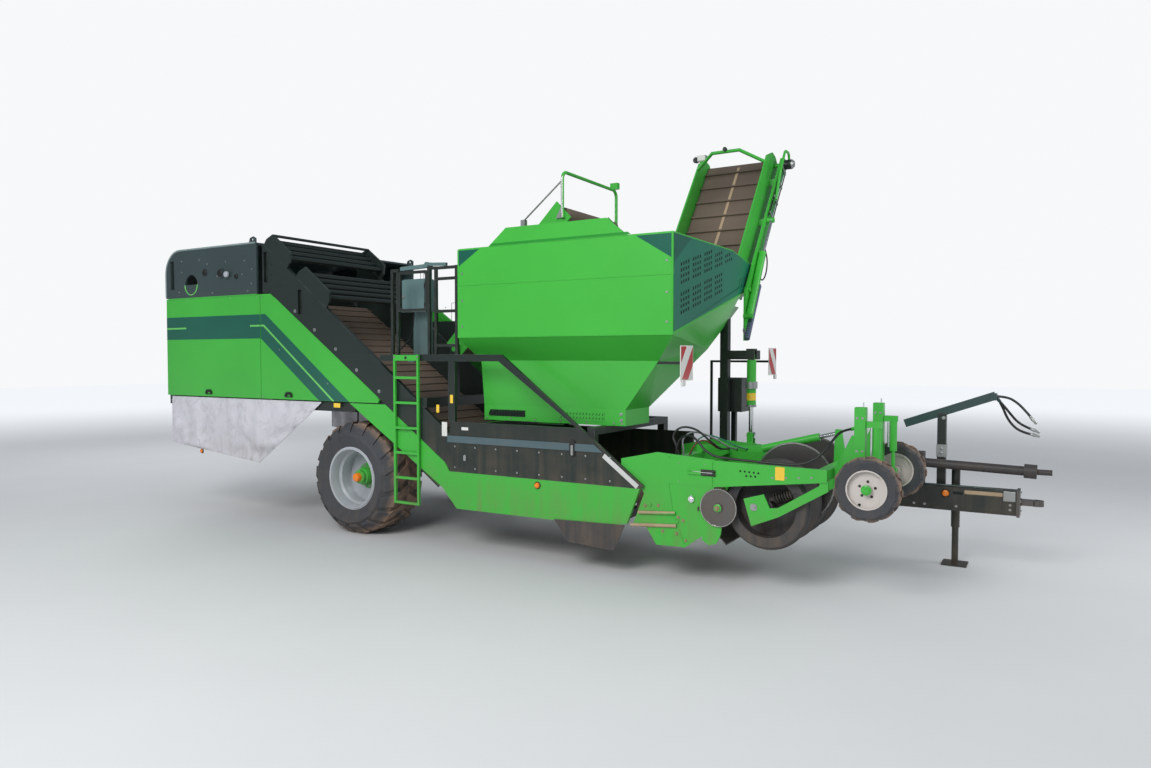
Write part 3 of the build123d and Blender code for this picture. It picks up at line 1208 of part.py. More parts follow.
def digger_web():
    y0, y1 = DIGGER_Y[0] + DIGGER_PLATE, DIGGER_Y[1] - DIGGER_PLATE
    ends = (DIGGER_WEB_REAR, DIGGER_WEB_FRONT)
    belt_y = (y0 + 2 * RUNNING_GAP, y1 - 2 * RUNNING_GAP)
    shape = belt_loop(*ends, DIGGER_PULLEY, *belt_y)
    shape += cleats(*ends, DIGGER_PULLEY, *belt_y, WEB_PITCH / 2, CLEAT_HEIGHT)
    for x, z in ends:
        shape += drum(x, z, y0, y1, SHAFT_DIA)
    return shape


def diabolo(row):
    """A waisted rubber roller that presses the ridge, with its hub bore."""
    outer, half, bore = DIABOLO_DIA / 2, DIABOLO_WIDTH / 2, DIABOLO_SHAFT / 2 + SEAT
    with BuildSketch(Plane.XZ) as profile:
        with BuildLine():
            Polyline((bore, -half), (outer - 30, -half), (outer, -half + 60), (outer - 90, -80), (outer - 90, 80),
                     (outer, half - 60), (outer - 30, half), (bore, half), close=True)
        make_face()
    shape = revolve(profile.sketch, Axis.Z)
    for end in (1, -1):
        recess = Cylinder(outer - 120, 300) - Cylinder(70, 301)
        shape -= Pos(0, 0, end * half) * recess
    return on_axle(shape, DIABOLO_AXLE[0], row, DIABOLO_AXLE[1])


def diabolo_frame():
    """Arms and axles that carry the diabolo rollers and the coulter discs."""
    x, z = DIABOLO_AXLE
    tube_low = CROSS_TUBE_Z[0]
    arm = [(x - 200, z + 75), (x - 120, z - 185), (x + 140, z - 75), (BEAM_FRONT_X + 10, z + 210),
           (BEAM_FRONT_X + 10, tube_low), (BEAM_FRONT_X - 70, tube_low), (BEAM_FRONT_X - 70, z + 260),
           (x + 140, z + 15), (x + 60, z + 5), (x, z + 135)]
    shape = None
    for row in ROW_Y:
        for side in (-1, 1):
            inner = row + side * (DIABOLO_WIDTH / 2 + 40)
            plate = plate_xz(arm, inner, inner + side * ARM_PLATE)
            shape = plate if shape is None else shape + plate
        reach = DIABOLO_WIDTH / 2 + 40 + ARM_PLATE
        shape += drum(x, z, row - reach, row + reach, DIABOLO_SHAFT)
    cx, cz = COULTER_AXLE
    for y in COULTER_Y:
        hanger = [(cx - 40, cz - 30), (cx + 40, cz - 40), (BEAM_FRONT_X - 100, tube_low),
                  (BEAM_FRONT_X - 100, tube_low + 80), (cx + 20, cz + 45), (cx - 40, cz + 30)]
        shape += plate_xz(hanger, y + 30, y + 45)
        shape += drum(cx, cz, y - 25, y + 45, DISC_PIN)
    return shape - digger_beam(DIGGER_Y[0], 1)


def side_disc_arm():
    """Short arm behind the digger's wall front with the side disc's pin."""
    sx, sz = SIDE_DISC_AXLE
    y = DIGGER_Y[0] + DIGGER_PLATE
    arm = plate_xz([(4880, sz - 40), (sx + 30, sz - 30), (sx + 30, sz + 30), (4880, sz + 40)], y, y + 20)
    return arm + drum(sx, sz, SIDE_DISC_Y - 25, y + 20, DISC_PIN)


def disc(x, y, z, dia):
    shape = Cylinder(dia / 2, 8) + Cylinder(45, 36)
    shape -= Cylinder(DISC_PIN / 2 + SEAT, 60)
    return on_axle(shape, x, y, z)


def gauge_frame():
    """Two towers on the front cross tube, with the gauge wheels' stubs and their height cylinders."""
    shape = None
    x = TOWER_X
    half = TOWER_TUBE / 2
    stub_z = GAUGE_AXLE[1]
    for wheel_y, inward in ((GAUGE_Y[0], 1), (GAUGE_Y[1], -1)):
        y = wheel_y + inward * TOWER_INSET
        tower = block((x - half, x + half), (y - half, y + half), (stub_z - 60, TOWER_TOP_Z))
        tower += block((BEAM_FRONT_X, x - half), (y - 60, y + 60), CROSS_TUBE_Z)
        tower += plate_xz([(BEAM_FRONT_X + 5, CROSS_TUBE_Z[1] - 5), (x - half, CROSS_TUBE_Z[1] - 5), (x - half, 1580),
                           (x - half - 30, 1580)], y - 12, y + 12)
        tower += block((x + half, GAUGE_AXLE[0] + 50), (y - 30, y + 30), (stub_z - 50, stub_z + 50))
        tower += drum(GAUGE_AXLE[0], stub_z, y, wheel_y - inward * 60, GAUGE_STUB)
        # Height cylinder: top bracket, barrel and rod down to the stub's arm
        cx = x + half + TOWER_CYLINDER_X
        tower += block((x + half, cx + 40), (y - 25, y + 25), (TOWER_TOP_Z - 190, TOWER_TOP_Z - 130))
        tower += rod((cx, y, stub_z + 230), (cx, y, TOWER_TOP_Z - 180), TOWER_BARREL)
        tower += rod((cx, y, stub_z + 40), (cx, y, stub_z + 240), TOWER_BARREL / 2)
        tower += rod((x + 20, y + 20, TOWER_TOP_Z - 1), (x + 20, y + 20, TOWER_TOP_Z + 45), 14)
        shape = tower if shape is None else shape + tower
    # Fitting of the hose on the right tower
    end = Vector(*BEAM_HOSE[-1])
    along = (end - Vector(*BEAM_HOSE[-2])).normalized()
    return shape + rod(tuple(end), tuple(end + along * FITTING), 1.4 * BEAM_HOSE_DIA)


def gauge_tyre():
    return lugged_tyre(GAUGE_OD, GAUGE_RIM_OD, GAUGE_WIDTH, GAUGE_LUGS, GAUGE_LUG_DEPTH, GAUGE_LUG_WIDTH, LUG_LEAN)


def gauge_rim(wheel_y, outward):
    """Pressed disc rim with a hub that turns on the stub."""
    shape = Cylinder(GAUGE_RIM_OD / 2 - SEAT, 150) - Cylinder(GAUGE_RIM_OD / 2 - 12, 151)
    shape += Pos(0, 0, 20) * Cylinder(GAUGE_RIM_OD / 2 - 11, 8)
    shape += Pos(0, 0, 10) * Cylinder(45, 130)
    shape -= Pos(0, 0, -10) * Cylinder(GAUGE_STUB / 2 + SEAT, 150)
    if outward < 0:
        shape = Rot(X=180) * shape
    return on_axle(shape, GAUGE_AXLE[0], wheel_y, GAUGE_AXLE[1])


# ---------------------------------------------------------------- drawbar
def drawbar_beam():
    x, y = DRAWBAR_PIVOT
    half = DRAWBAR_WIDTH / 2
    beam = block((x, DRAWBAR_FRONT_X), (y - half, y + half), DRAWBAR_Z)
    beam += rod((x, y, DRAWBAR_Z[0]), (x, y, DRAWBAR_Z[1]), DRAWBAR_WIDTH)
    beam -= rod((x, y, DRAWBAR_Z[0] - 1), (x, y, DRAWBAR_Z[1] + 1), 62)
    return beam


def hitch_eye():
    y = DRAWBAR_PIVOT[1]
    shape = block((DRAWBAR_FRONT_X, DRAWBAR_FRONT_X + 30), (y - 120, y + 120), (DRAWBAR_Z[0] - 10, DRAWBAR_Z[1] + 10))
    shape += block((DRAWBAR_FRONT_X + 30, HITCH_X), (y - 45, y + 45), (HITCH_Z - 30, HITCH_Z + 30))
    shape += rod((HITCH_X, y, HITCH_Z - 30), (HITCH_X, y, HITCH_Z + 30), 120)
    shape -= rod((HITCH_X, y, HITCH_Z - 31), (HITCH_X, y, HITCH_Z + 31), HITCH_BORE)
    return shape


def pto_drive():
    """Gearbox on the drawbar, guarded shaft to the front and its yoke."""
    y = DRAWBAR_PIVOT[1]
    box = block((PTO_REAR_X - 200, PTO_REAR_X), (y - 90, y + 90), (DRAWBAR_Z[1], 1260))
    box += rod((PTO_REAR_X, y, 1140), (PTO_FRONT_X, y, 1110), PTO_DIA)
    box += rod((PTO_FRONT_X - 5, y, 1110), (PTO_FRONT_X + 140, y, 1110), 60)
    box += rod((PTO_FRONT_X - 120, y, 1115), (PTO_FRONT_X, y, 1110), 1.5 * PTO_DIA)
    box += rod((4850, y, 1060), (PTO_REAR_X - 200, y, 1060), 80)
    box += block((4850, 4890), (y - 40, y + 40), (DRAWBAR_Z[1], 1100))
    box -= rod((PTO_FRONT_X + 60, y, 1110), (PTO_FRONT_X + 141, y, 1110), PTO_BORE)
    return box


def hose_arm():
    """Square-tube arm that carries the hoses to the tractor, on a post beside the drawbar."""
    y = HOSE_ARM_Y
    shape = block((6755, 6845), (y - 45, y + 45), (700, 1690))
    shape += block((6755, 6845), (DRAWBAR_PIVOT[1] + DRAWBAR_WIDTH / 2, y - 45), (700, 880))
    shape += bar((6410, y, 1560), (7330, y, 1900), 70, 90)
    # Sleeve with its two cross holes, and the plate that holds the hoses
    shape += block((6748, 6852), (y - 52, y + 52), (1200, 1340))
    for z in (1245, 1295):
        shape -= drum(6800, z, y - 53, y + 53, 30)
    shape += block((7290, HOSE_PLATE_X), (y - 75, y + 75), (1850, 1925))
    for _, points in FREE_HOSES:
        start = Vector(*points[0])
        along = (Vector(*points[1]) - start).normalized()
        shape += rod(tuple(start - along * FITTING), tuple(start), 1.35 * HOSE_DIA)
    return shape


def hose(name, points, dia):
    """A round hose through its points, each bend as wide as the runs beside it allow."""
    runs = [(Vector(*q) - Vector(*p)) for p, q in zip(points, points[1:])]
    radii = []
    for a, b in zip(runs, runs[1:]):
        turn = radians(a.get_angle(b))
        radii.append(0.45 * min(a.length, b.length) / tan(turn / 2))
    print(name, "radii", [round(r) for r in radii])
    return bent_tube(points, radii, dia)


def hose_couplings():
    """The quick couplings at the free hoses' ends."""
    ends = []
    for _, points in FREE_HOSES:
        tip, before = Vector(*points[-1]), Vector(*points[-2])
        along = (tip - before).normalized()
        ends.append(rod(tuple(tip), tuple(tip + along * 70), 1.5 * HOSE_DIA))
        ends[-1] += rod(tuple(tip + along * 40), tuple(tip + along * 95), 1.1 * HOSE_DIA)
    return Compound([solid for end in ends for solid in end.solids()])


def jack_tube():
    face = DRAWBAR_PIVOT[1] + DRAWBAR_WIDTH / 2
    tube = block((JACK_X - 40, JACK_X + 40), (face, JACK_Y), (660, 880))
    tube += rod((JACK_X, JACK_Y, 420), (JACK_X, JACK_Y, 1150), JACK_TUBE)
    return tube - rod((JACK_X, JACK_Y, 419), (JACK_X, JACK_Y, 1120), JACK_LEG + 2)


def jack_leg():
    leg = rod((JACK_X, JACK_Y, 10), (JACK_X, JACK_Y, 720), JACK_LEG)
    half = JACK_FOOT / 2
    return leg + block((JACK_X - half, JACK_X + half), (JACK_Y - half, JACK_Y + half), (0, 15))


# ---------------------------------------------------------------- assembly
def together(*shapes):
    """One node of several solids: they are fused where they meet."""
    whole = shapes[0]
    for shape in shapes[1:]:
        whole = whole + shape
    return Compound([*whole.solids()])


def assemble():
    nodes = {
        "main_frame": together(main_frame(), digger_pins()),
        "axle_beam": axle_beam(),
        "side_band_right": lower_band(RIGHT),
        "side_band_left": left_fender(),
        "dark_side_right": together(slope_wall_right(), side_panel_right()),
        "channel_wall_left": channel_wall_left(),
        "rear_cage": together(rear_cage(), rear_panel()),
        "rear_hood": together(rear_hood(), *hood_fittings()),
        "canvas_skirt": canvas_skirt(),
        "ground_flap": ground_flap(),
        "web_belts": together(front_web(), second_web()),
        "haulm_rollers": haulm_rollers(),
        "rear_separator": rear_separator(),
        "picking_table": together(picking_table(), cross_feed(), fill_mount()),
        "fill_conveyor": together(fill_conveyor(), hoop_guard()),
        "bunker_shell": together(bunker_shell(), bunker_base()),
        "bunker_floor": bunker_floor(),
        "bunker_flap": bunker_flap(),
        "bunker_supports": together(bunker_supports(), lift_arm(), hydraulic_tank()),
        "discharge_frame": discharge_frame(),
        "discharge_belt": discharge_belt(),
        "platform": together(platform(), platform_brace(), ladder_pin()),
        "railing": railing(),
        "control_cabinet": control_cabinet(),
        "ladder": ladder(),
        "lift_barrel": lift_barrel(),
        "lift_rod": lift_rod(),
        "warning_boards": warning_boards(),
        "digger_frame": together(digger_frame(), side_disc_arm()),
        "shares": shares(),
        "digger_web": digger_web(),
        "diabolo_frame": diabolo_frame(),
        "side_disc": disc(SIDE_DISC_AXLE[0], SIDE_DISC_Y, SIDE_DISC_AXLE[1], SIDE_DISC_DIA),
        "gauge_frame": gauge_frame(),
        "drawbar_beam": together(drawbar_beam(), jack_tube()),
        "hitch_eye": hitch_eye(),
        "pto_drive": pto_drive(),
        "hose_arm": hose_arm(),
        "jack_leg": jack_leg(),
    }
    wide_tyre, narrow_tyre = main_tyre(), gauge_tyre()
    for name, side in (("right", RIGHT), ("left", LEFT)):
        nodes[f"main_tyre_{name}"] = on_axle(wide_tyre, 0, side * WHEEL_Y, AXLE_Z)
        nodes[f"main_rim_{name}"] = main_rim(side)
        nodes[f"rear_door_{name}"] = rear_door(side)
        nodes[f"front_door_{name}"] = front_door(side)
    for i, name in enumerate(("right", "left")):
        nodes[f"diabolo_{name}"] = diabolo(ROW_Y[i])
        nodes[f"coulter_{name}"] = disc(COULTER_AXLE[0], COULTER_Y[i], COULTER_AXLE[1], COULTER_DIA)
        nodes[f"gauge_tyre_{name}"] = on_axle(narrow_tyre, GAUGE_AXLE[0], GAUGE_Y[i], GAUGE_AXLE[1])
        nodes[f"gauge_rim_{name}"] = gauge_rim(GAUGE_Y[i], (-1, 1)[i])
    return nodes


def hoses():
    nodes = {name: hose(name, points, HOSE_DIA) for name, points in FREE_HOSES}
    nodes["hose_couplings"] = hose_couplings()
    nodes["beam_hose"] = hose("beam_hose", BEAM_HOSE, BEAM_HOSE_DIA)
    return nodes


NODES = {**assemble(), **hoses()}
boxes = [shape.bounding_box() for shape in NODES.values()]
LOW = [min(getattr(box.min, axis) for box in boxes) for axis in "XYZ"]
HIGH = [max(getattr(box.max, axis) for box in boxes) for axis in "XYZ"]
SHIFT = (-(LOW[0] + HIGH[0]) / 2, -(LOW[1] + HIGH[1]) / 2, -LOW[2])

os.makedirs("parts", exist_ok=True)
for name, shape in NODES.items():
    export_step(Pos(*SHIFT) * shape, f"parts/{name}.step")
print("size", [round(HIGH[i] - LOW[i]) for i in range(3)], "shift", [round(s, 2) for s in SHIFT])
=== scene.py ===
import bpy
import bmesh
from math import radians, sin, cos, pi
from mathutils import Vector, Matrix, noise


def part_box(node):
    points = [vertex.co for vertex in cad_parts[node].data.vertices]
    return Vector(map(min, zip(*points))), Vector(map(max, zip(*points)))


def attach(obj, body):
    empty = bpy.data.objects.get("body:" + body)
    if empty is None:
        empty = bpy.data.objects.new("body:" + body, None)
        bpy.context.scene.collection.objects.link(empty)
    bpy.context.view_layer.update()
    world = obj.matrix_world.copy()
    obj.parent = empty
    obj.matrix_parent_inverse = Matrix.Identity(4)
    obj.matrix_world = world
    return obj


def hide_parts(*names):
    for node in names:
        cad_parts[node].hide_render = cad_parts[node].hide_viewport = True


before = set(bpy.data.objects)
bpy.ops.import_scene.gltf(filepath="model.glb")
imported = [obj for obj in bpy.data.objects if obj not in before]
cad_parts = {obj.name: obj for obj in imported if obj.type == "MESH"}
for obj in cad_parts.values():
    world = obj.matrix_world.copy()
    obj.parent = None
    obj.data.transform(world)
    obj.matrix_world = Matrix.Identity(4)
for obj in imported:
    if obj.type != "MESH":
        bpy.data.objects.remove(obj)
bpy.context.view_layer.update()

# ---------------- the yard it is set out in
# The machine stands parked on a pale concrete-grey studio floor, seen from its right front quarter at the
# height of a standing person on a step. Places are given from the main axle, on the machine's centre plane.
wheel_low, wheel_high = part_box("main_tyre_right")
AXLE_X = (wheel_low.x + wheel_high.x) / 2
CENTRE_Y = (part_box("rear_door_right")[0].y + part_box("rear_door_left")[1].y) / 2


def at(x, y, z):
    """A point x forward of the main axle, y left of the centre plane and z above the ground."""
    return Vector((AXLE_X + x, CENTRE_Y + y, z))


scene = bpy.context.scene
scene.view_settings.view_transform = "Standard"


def aimed(name, data, place, look):
    """A camera or lamp at a place, looking along a direction."""
    item = bpy.data.objects.new(name, data)
    item.location = place
    item.rotation_euler = look.to_track_quat("-Z", "Y").to_euler()
    scene.collection.objects.link(item)
    return item


camera = bpy.data.cameras.new("yard_camera")
camera.sensor_width, camera.lens, camera.clip_end = 36, 25.4, 200
TURN, DIP = radians(30.86), radians(-1.96)
scene.camera = aimed("yard_camera", camera, at(7.9355, -9.17, 2.33),
                     Vector((-sin(TURN) * cos(DIP), cos(TURN) * cos(DIP), sin(DIP))))
for name, place, aim, size, power in (("key_lamp", at(3.5, -13, 9.5), at(1.5, 0, 1.5), 6, 1250),
                                      ("front_lamp", at(13, 2, 6.5), at(3, 0, 1.5), 5, 300),
                                      ("rear_lamp", at(-11, 3, 8), at(0, 0, 2), 5, 340)):
    lamp = bpy.data.lights.new(name, "AREA")
    lamp.size, lamp.energy = size, power
    aimed(name, lamp, place, aim - place)


def feed(node, inputs):
    """Sets a node's inputs from values, sockets, or nodes whose first output is meant."""
    for name, value in inputs.items():
        if isinstance(value, bpy.types.Node):
            value = value.outputs[0]
        if isinstance(value, bpy.types.NodeSocket):
            node.id_data.links.new(value, node.inputs[name])
        else:
            node.inputs[name].default_value = value
    return node


def add(tree, kind, inputs=None, **settings):
    """Adds a shader node, named without its prefix, or places a group; settings are the node's own."""
    group = isinstance(kind, bpy.types.NodeTree)
    node = tree.nodes.new("ShaderNodeGroup" if group else "ShaderNode" + kind)
    if group:
        node.node_tree = kind
    for name, value in settings.items():
        setattr(node, name, value)
    return feed(node, inputs or {})


def speckle(tree, scale, detail, place=None, **more):
    """Noise over the object's own coordinates, or over a given place."""
    if place is None:
        place = add(tree, "TexCoord").outputs["Object"]
    return add(tree, "TexNoise", {"Vector": place, "Scale": scale, "Detail": detail, **more})


def ramp(tree, value, start, end, low=0.0, high=1.0, **settings):
    """Low up to the value's start, high from its end, and a slope between."""
    return add(tree, "MapRange", {"Value": value, "From Min": start, "From Max": end, "To Min": low, "To Max": high},
               **settings)


def calc(tree, operation, *values, kind="Math", **settings):
    """One step of arithmetic on numbers, or on vectors."""
    return add(tree, kind, dict(enumerate(values)), operation=operation, **settings)


def over(tree, mask, under, top):
    """One colour over another where a mask says so."""
    return add(tree, "Mix", {0: mask, 6: under, 7: top}, data_type="RGBA").outputs[2]


def new_material(name):
    """An empty material, its tree and its shader."""
    material = bpy.data.materials.new(name)
    material.use_nodes = True
    return material, material.node_tree, material.node_tree.nodes["Principled BSDF"]


# Even light on the machine, a white background for the camera, and a dimmer room in its reflections
scene.world = bpy.data.worlds.new("studio_sky")
scene.world.use_nodes = True
tree = scene.world.node_tree
tree.nodes.clear()
light, white, room = [add(tree, "Background", {"Color": (*colour, 1), "Strength": strength}) for colour, strength in
                      (((0.86, 0.92, 1.0), 0.55), ((0.93, 0.94, 0.95), 1.0), ((0.80, 0.90, 1.0), 0.22))]
ray = add(tree, "LightPath").outputs
lit = add(tree, "MixShader", {0: ray["Is Glossy Ray"], 1: light, 2: room})
add(tree, "OutputWorld", {"Surface": add(tree, "MixShader", {0: ray["Is Camera Ray"], 1: lit, 2: white})})

FLOOR_REACH, COVE_START, COVE_END = 60, 9.0, 34.0
floor_mesh = bpy.data.meshes.new("yard_floor")
floor_mesh.from_pydata([(x * FLOOR_REACH, y * FLOOR_REACH, -0.001) for x, y in ((-1, -1), (1, -1), (1, 1), (-1, 1))],
                       [], [(0, 1, 2, 3)])
floor = bpy.data.objects.new("yard_floor", floor_mesh)
scene.collection.objects.link(floor)
floor_material, tree, shader = new_material("pale_floor")
place = add(tree, "TexCoord").outputs["Object"]
away = calc(tree, "LENGTH", place, kind="VectorMath").outputs["Value"]
feed(shader, {
    "Base Color": over(tree, speckle(tree, 0.6, 6.0, place), (0.62, 0.62, 0.62, 1), (0.67, 0.67, 0.665, 1)),
    "Roughness": 0.9, "Emission Color": (0.60, 0.61, 0.62, 1),
    "Emission Strength": ramp(tree, away, COVE_START, COVE_END, interpolation_type="SMOOTHSTEP")})
floor.data.materials.append(floor_material)

# ---------------- field dirt and wear
# Three effects that every finish shares: dried soil that sits on what is low, paint rubbed off
# along the plates' edges, and the slow change of tone over large sheets.


def chart(red, green, blue):
    """A colour from a paint chart, 0 to 255, as the shaders take it."""
    return tuple((c / 12.92 if c <= 0.04045 else ((c + 0.055) / 1.055) ** 2.4)
                 for c in (red / 255, green / 255, blue / 255)) + (1,)


def effect(name, inputs, outputs):
    """An empty shader node group; numbers make float sockets, and colours make colour sockets."""
    tree = bpy.data.node_groups.new(name, "ShaderNodeTree")
    for way, sockets in (("INPUT", inputs), ("OUTPUT", outputs)):
        for label, value in sockets.items():
            kind = "NodeSocketFloat" if isinstance(value, float) else "NodeSocketColor"
            tree.interface.new_socket(label, in_out=way, socket_type=kind).default_value = value
    return tree, tree.nodes.new("NodeGroupInput").outputs, tree.nodes.new("NodeGroupOutput")


# Soil: full below Low, gone above High, broken up by lumps and streaks
GREY = (0.5, 0.5, 0.5, 1)
DRIED_SOIL, given, result = effect("Dried soil", {"Low": 0.0, "High": 1.0, "Amount": 1.0}, {"Mask": 0.0, "Lumps": 0.0})
place = add(DRIED_SOIL, "TexCoord").outputs["Object"]
fade = ramp(DRIED_SOIL, add(DRIED_SOIL, "SeparateXYZ", {0: place}).outputs["Z"], given["High"], given["Low"])
streaks = add(DRIED_SOIL, "Mapping", {"Vector": place, "Scale": (14.0, 14.0, 0.9)})
mixed = calc(DRIED_SOIL, "MULTIPLY", speckle(DRIED_SOIL, 2.6, 8.0, place, Roughness=0.68),
             speckle(DRIED_SOIL, 1.0, 4.0, streaks))
faded = calc(DRIED_SOIL, "MULTIPLY", ramp(DRIED_SOIL, mixed, 0.16, 0.38), fade)
feed(result, {"Mask": calc(DRIED_SOIL, "MULTIPLY", faded, given["Amount"], use_clamp=True),
              "Lumps": speckle(DRIED_SOIL, 38.0, 5.0, place, Roughness=0.7)})

# Rubbed strip along sharp edges, broken up so that it isn't a drawn line
RUBBED_EDGE, given, result = effect("Rubbed edge", {"Width": 0.006, "Amount": 1.0}, {"Mask": 0.0})
same = calc(RUBBED_EDGE, "DOT_PRODUCT", add(RUBBED_EDGE, "Bevel", {"Radius": given["Width"]}, samples=4),
            add(RUBBED_EDGE, "NewGeometry").outputs["Normal"], kind="VectorMath").outputs["Value"]
masked = calc(RUBBED_EDGE, "MULTIPLY", ramp(RUBBED_EDGE, same, 0.995, 0.80),
              ramp(RUBBED_EDGE, speckle(RUBBED_EDGE, 9.0, 6.0), 0.42, 0.62))
feed(result, {"Mask": calc(RUBBED_EDGE, "MULTIPLY", masked, given["Amount"], use_clamp=True)})

# Paint over a large sheet: faded a little in patches
SHEET_TONE, given, result = effect("Sheet tone", {"Paint": GREY, "Change": 0.12}, {"Color": GREY, "Ripple": 0.0})
faded = ramp(SHEET_TONE, speckle(SHEET_TONE, 0.9, 5.0), 0.3, 0.7, -1.0, 1.0)
value = calc(SHEET_TONE, "ADD", calc(SHEET_TONE, "MULTIPLY", faded, given["Change"]), 1.0)
feed(result, {"Color": add(SHEET_TONE, "HueSaturation", {"Color": given["Paint"], "Value": value}),
              "Ripple": speckle(SHEET_TONE, 320.0, 2.0)})

SOIL_COLOUR = chart(128, 106, 84)


def worn_finish(name, colour, bare=(150, 150, 146), gloss=0.35, coat=0.25, metallic=0.0, change=0.10,
                soil=(0.3, 1.6, 0.8), wear=0.6, edge=0.005, bump=0.02):
    """A painted or plain finish from chart colours, with rubbed edges and dried soil; soil is (low, high, amount)."""
    material, tree, shader = new_material(name)
    tone = add(tree, SHEET_TONE, {"Paint": chart(*colour), "Change": change})
    rubbed = add(tree, RUBBED_EDGE, {"Width": edge, "Amount": wear})
    dirt = add(tree, DRIED_SOIL, dict(zip(("Low", "High", "Amount"), soil)))
    lumps = calc(tree, "MULTIPLY", dirt, dirt.outputs["Lumps"])
    skin = calc(tree, "MULTIPLY_ADD", tone.outputs["Ripple"], bump, lumps)
    feed(shader, {"Base Color": over(tree, dirt, over(tree, rubbed, tone, chart(*bare)), SOIL_COLOUR),
                  "Roughness": ramp(tree, dirt, 0.0, 1.0, gloss, 0.9),
                  "Normal": add(tree, "Bump", {"Height": skin, "Strength": 0.5, "Distance": 0.004}),
                  "Metallic": metallic, "Coat Weight": coat, "Coat Roughness": 0.12})
    return material


def finish_nodes(material, *names):
    """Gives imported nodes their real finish."""
    for name in names:
        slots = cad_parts[name].data.materials
        slots.clear()
        slots.append(material)


# ---------------- main frame and axle
# Rails, cross tubes and uprights are welded box section, painted near black, with the beam axle bolted under
# them. The bunker's posts and the drawbar share that paint.
frame_paint = worn_finish("black_frame_paint", (34, 41, 37), gloss=0.42, coat=0.12,
                          soil=(0.2, 1.5, 0.35))
finish_nodes(frame_paint, "main_frame", "axle_beam", "bunker_supports", "drawbar_beam", "railing", "jack_leg")
zinc = worn_finish("zinc_plating", (176, 178, 176), gloss=0.36, coat=0.0, metallic=0.8,
                   soil=(0.0, 1.3, 0.35), wear=0.0, edge=0.002)


def made(form, name):
    """Turns a finished bmesh into a mesh."""
    mesh = bpy.data.meshes.new(name)
    form.to_mesh(mesh)
    form.free()
    return mesh


def put(name, mesh, material, body="chassis"):
    """Adds a mesh as a piece in one finish that rides on a body."""
    piece = bpy.data.objects.new(name, mesh)
    scene.collection.objects.link(piece)
    mesh.materials.append(material)
    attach(piece, body)
    return piece


def bolt_heads(name, places, size, body="chassis", material=zinc, facing=(0, -1, 0)):
    """Hexagon heads on round washers, each centre on its place, looking along one direction."""
    form = bmesh.new()
    turn = Vector((0, 0, 1)).rotation_difference(Vector(facing)).to_matrix().to_4x4()
    for place in places:
        base = Matrix.Translation(place) @ turn
        for sides, wide, narrow, low, tall in ((18, 1.12, 1.04, 0.0, 0.16), (6, 0.66, 0.60, 0.16, 0.5)):
            bmesh.ops.create_cone(form, cap_ends=True, segments=sides, radius1=wide * size, radius2=narrow * size,
                                  depth=tall * size, matrix=base @ Matrix.Translation((0, 0, (low + tall / 2) * size)))
    return put(name, made(form, name), material, body)


# Axle clamps: nut rows on the beam where the rails sit on it
under_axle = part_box("axle_beam")[0].z - 0.001
bolt_heads("axle_clamp_nuts", [at(x, y, under_axle) for x in (-0.05, 0.05) for y in
                               (-0.62, -0.5, -0.34, -0.22, 0.22, 0.34, 0.5, 0.62)], 0.017, facing=(0, 0, -1))

# ---------------- main wheels
# Flotation tyres on deep dished silver rims. Each rim's disc is held by ten nuts to a green hub that reaches
# out through it and ends in an orange dust cap.
tyre_rubber = worn_finish("tyre_rubber", (62, 65, 70), bare=(120, 104, 88), gloss=0.78, coat=0.0, change=0.2,
                          soil=(0.0, 1.9, 0.25), edge=0.016, wear=0.5, bump=0.12)
for node in ("main_tyre_right", "main_tyre_left", "gauge_tyre_right", "gauge_tyre_left"):
    # Each tyre's rubber has brown soil on the lugs, which roll in it, over blue-grey walls
    soiled = tyre_rubber.copy()
    soiled.name = node + "_rubber"
    tree = soiled.node_tree
    low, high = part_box(node)
    reach = (high.z - low.z) / 2
    place = add(tree, "TexCoord").outputs["Object"]
    offset = calc(tree, "SUBTRACT", place, (low + high) / 2, kind="VectorMath")
    flat = calc(tree, "MULTIPLY", offset, (1, 0, 1), kind="VectorMath")
    away = calc(tree, "LENGTH", flat, kind="VectorMath").outputs["Value"]
    mask = calc(tree, "MULTIPLY", ramp(tree, away, reach * 0.90, reach * 0.985),
                ramp(tree, speckle(tree, 7.0, 6.0, place), 0.34, 0.56))
    shader = tree.nodes["Principled BSDF"]
    rubber = shader.inputs["Base Color"].links[0].from_socket
    feed(shader, {"Base Color": over(tree, mask, rubber, chart(138, 114, 96))})
    finish_nodes(soiled, node)
rim_silver = worn_finish("rim_silver", (186, 190, 195), gloss=0.33, coat=0.25, metallic=0.2,
                         soil=(0.0, 1.2, 0.4), edge=0.003)
finish_nodes(rim_silver, "main_rim_right", "main_rim_left")
green_paint = worn_finish("green_enamel", (62, 176, 58), bare=(170, 206, 160), gloss=0.34, coat=0.10,
                          change=0.06, soil=(0.35, 1.15, 0.5), wear=0.5, edge=0.003)
lamp_orange = worn_finish("orange_plastic", (240, 130, 30), gloss=0.22, coat=0.4, soil=(0.0, 1.0, 0.15),
                          wear=0.0)
UP = (0, 0, 1)
RIGHT_SIDE, LEFT_SIDE = ((1, 0, 0), UP), ((-1, 0, 0), UP)
SIDES, FACING = (("right", -1), ("left", 1)), {-1: RIGHT_SIDE, 1: LEFT_SIDE}


WELD, TURNED_SHARP = 0.00005, radians(32)


def stood(mesh, origin, along, up):
    """Moves a mesh from its own X, Y and Z to a place: X along, Y up, Z out of the face they span."""
    along, up = Vector(along).normalized(), Vector(up).normalized()
    turn = Matrix((along, up, along.cross(up))).transposed().to_4x4()
    mesh.transform(Matrix.Translation(origin) @ turn)
    return mesh


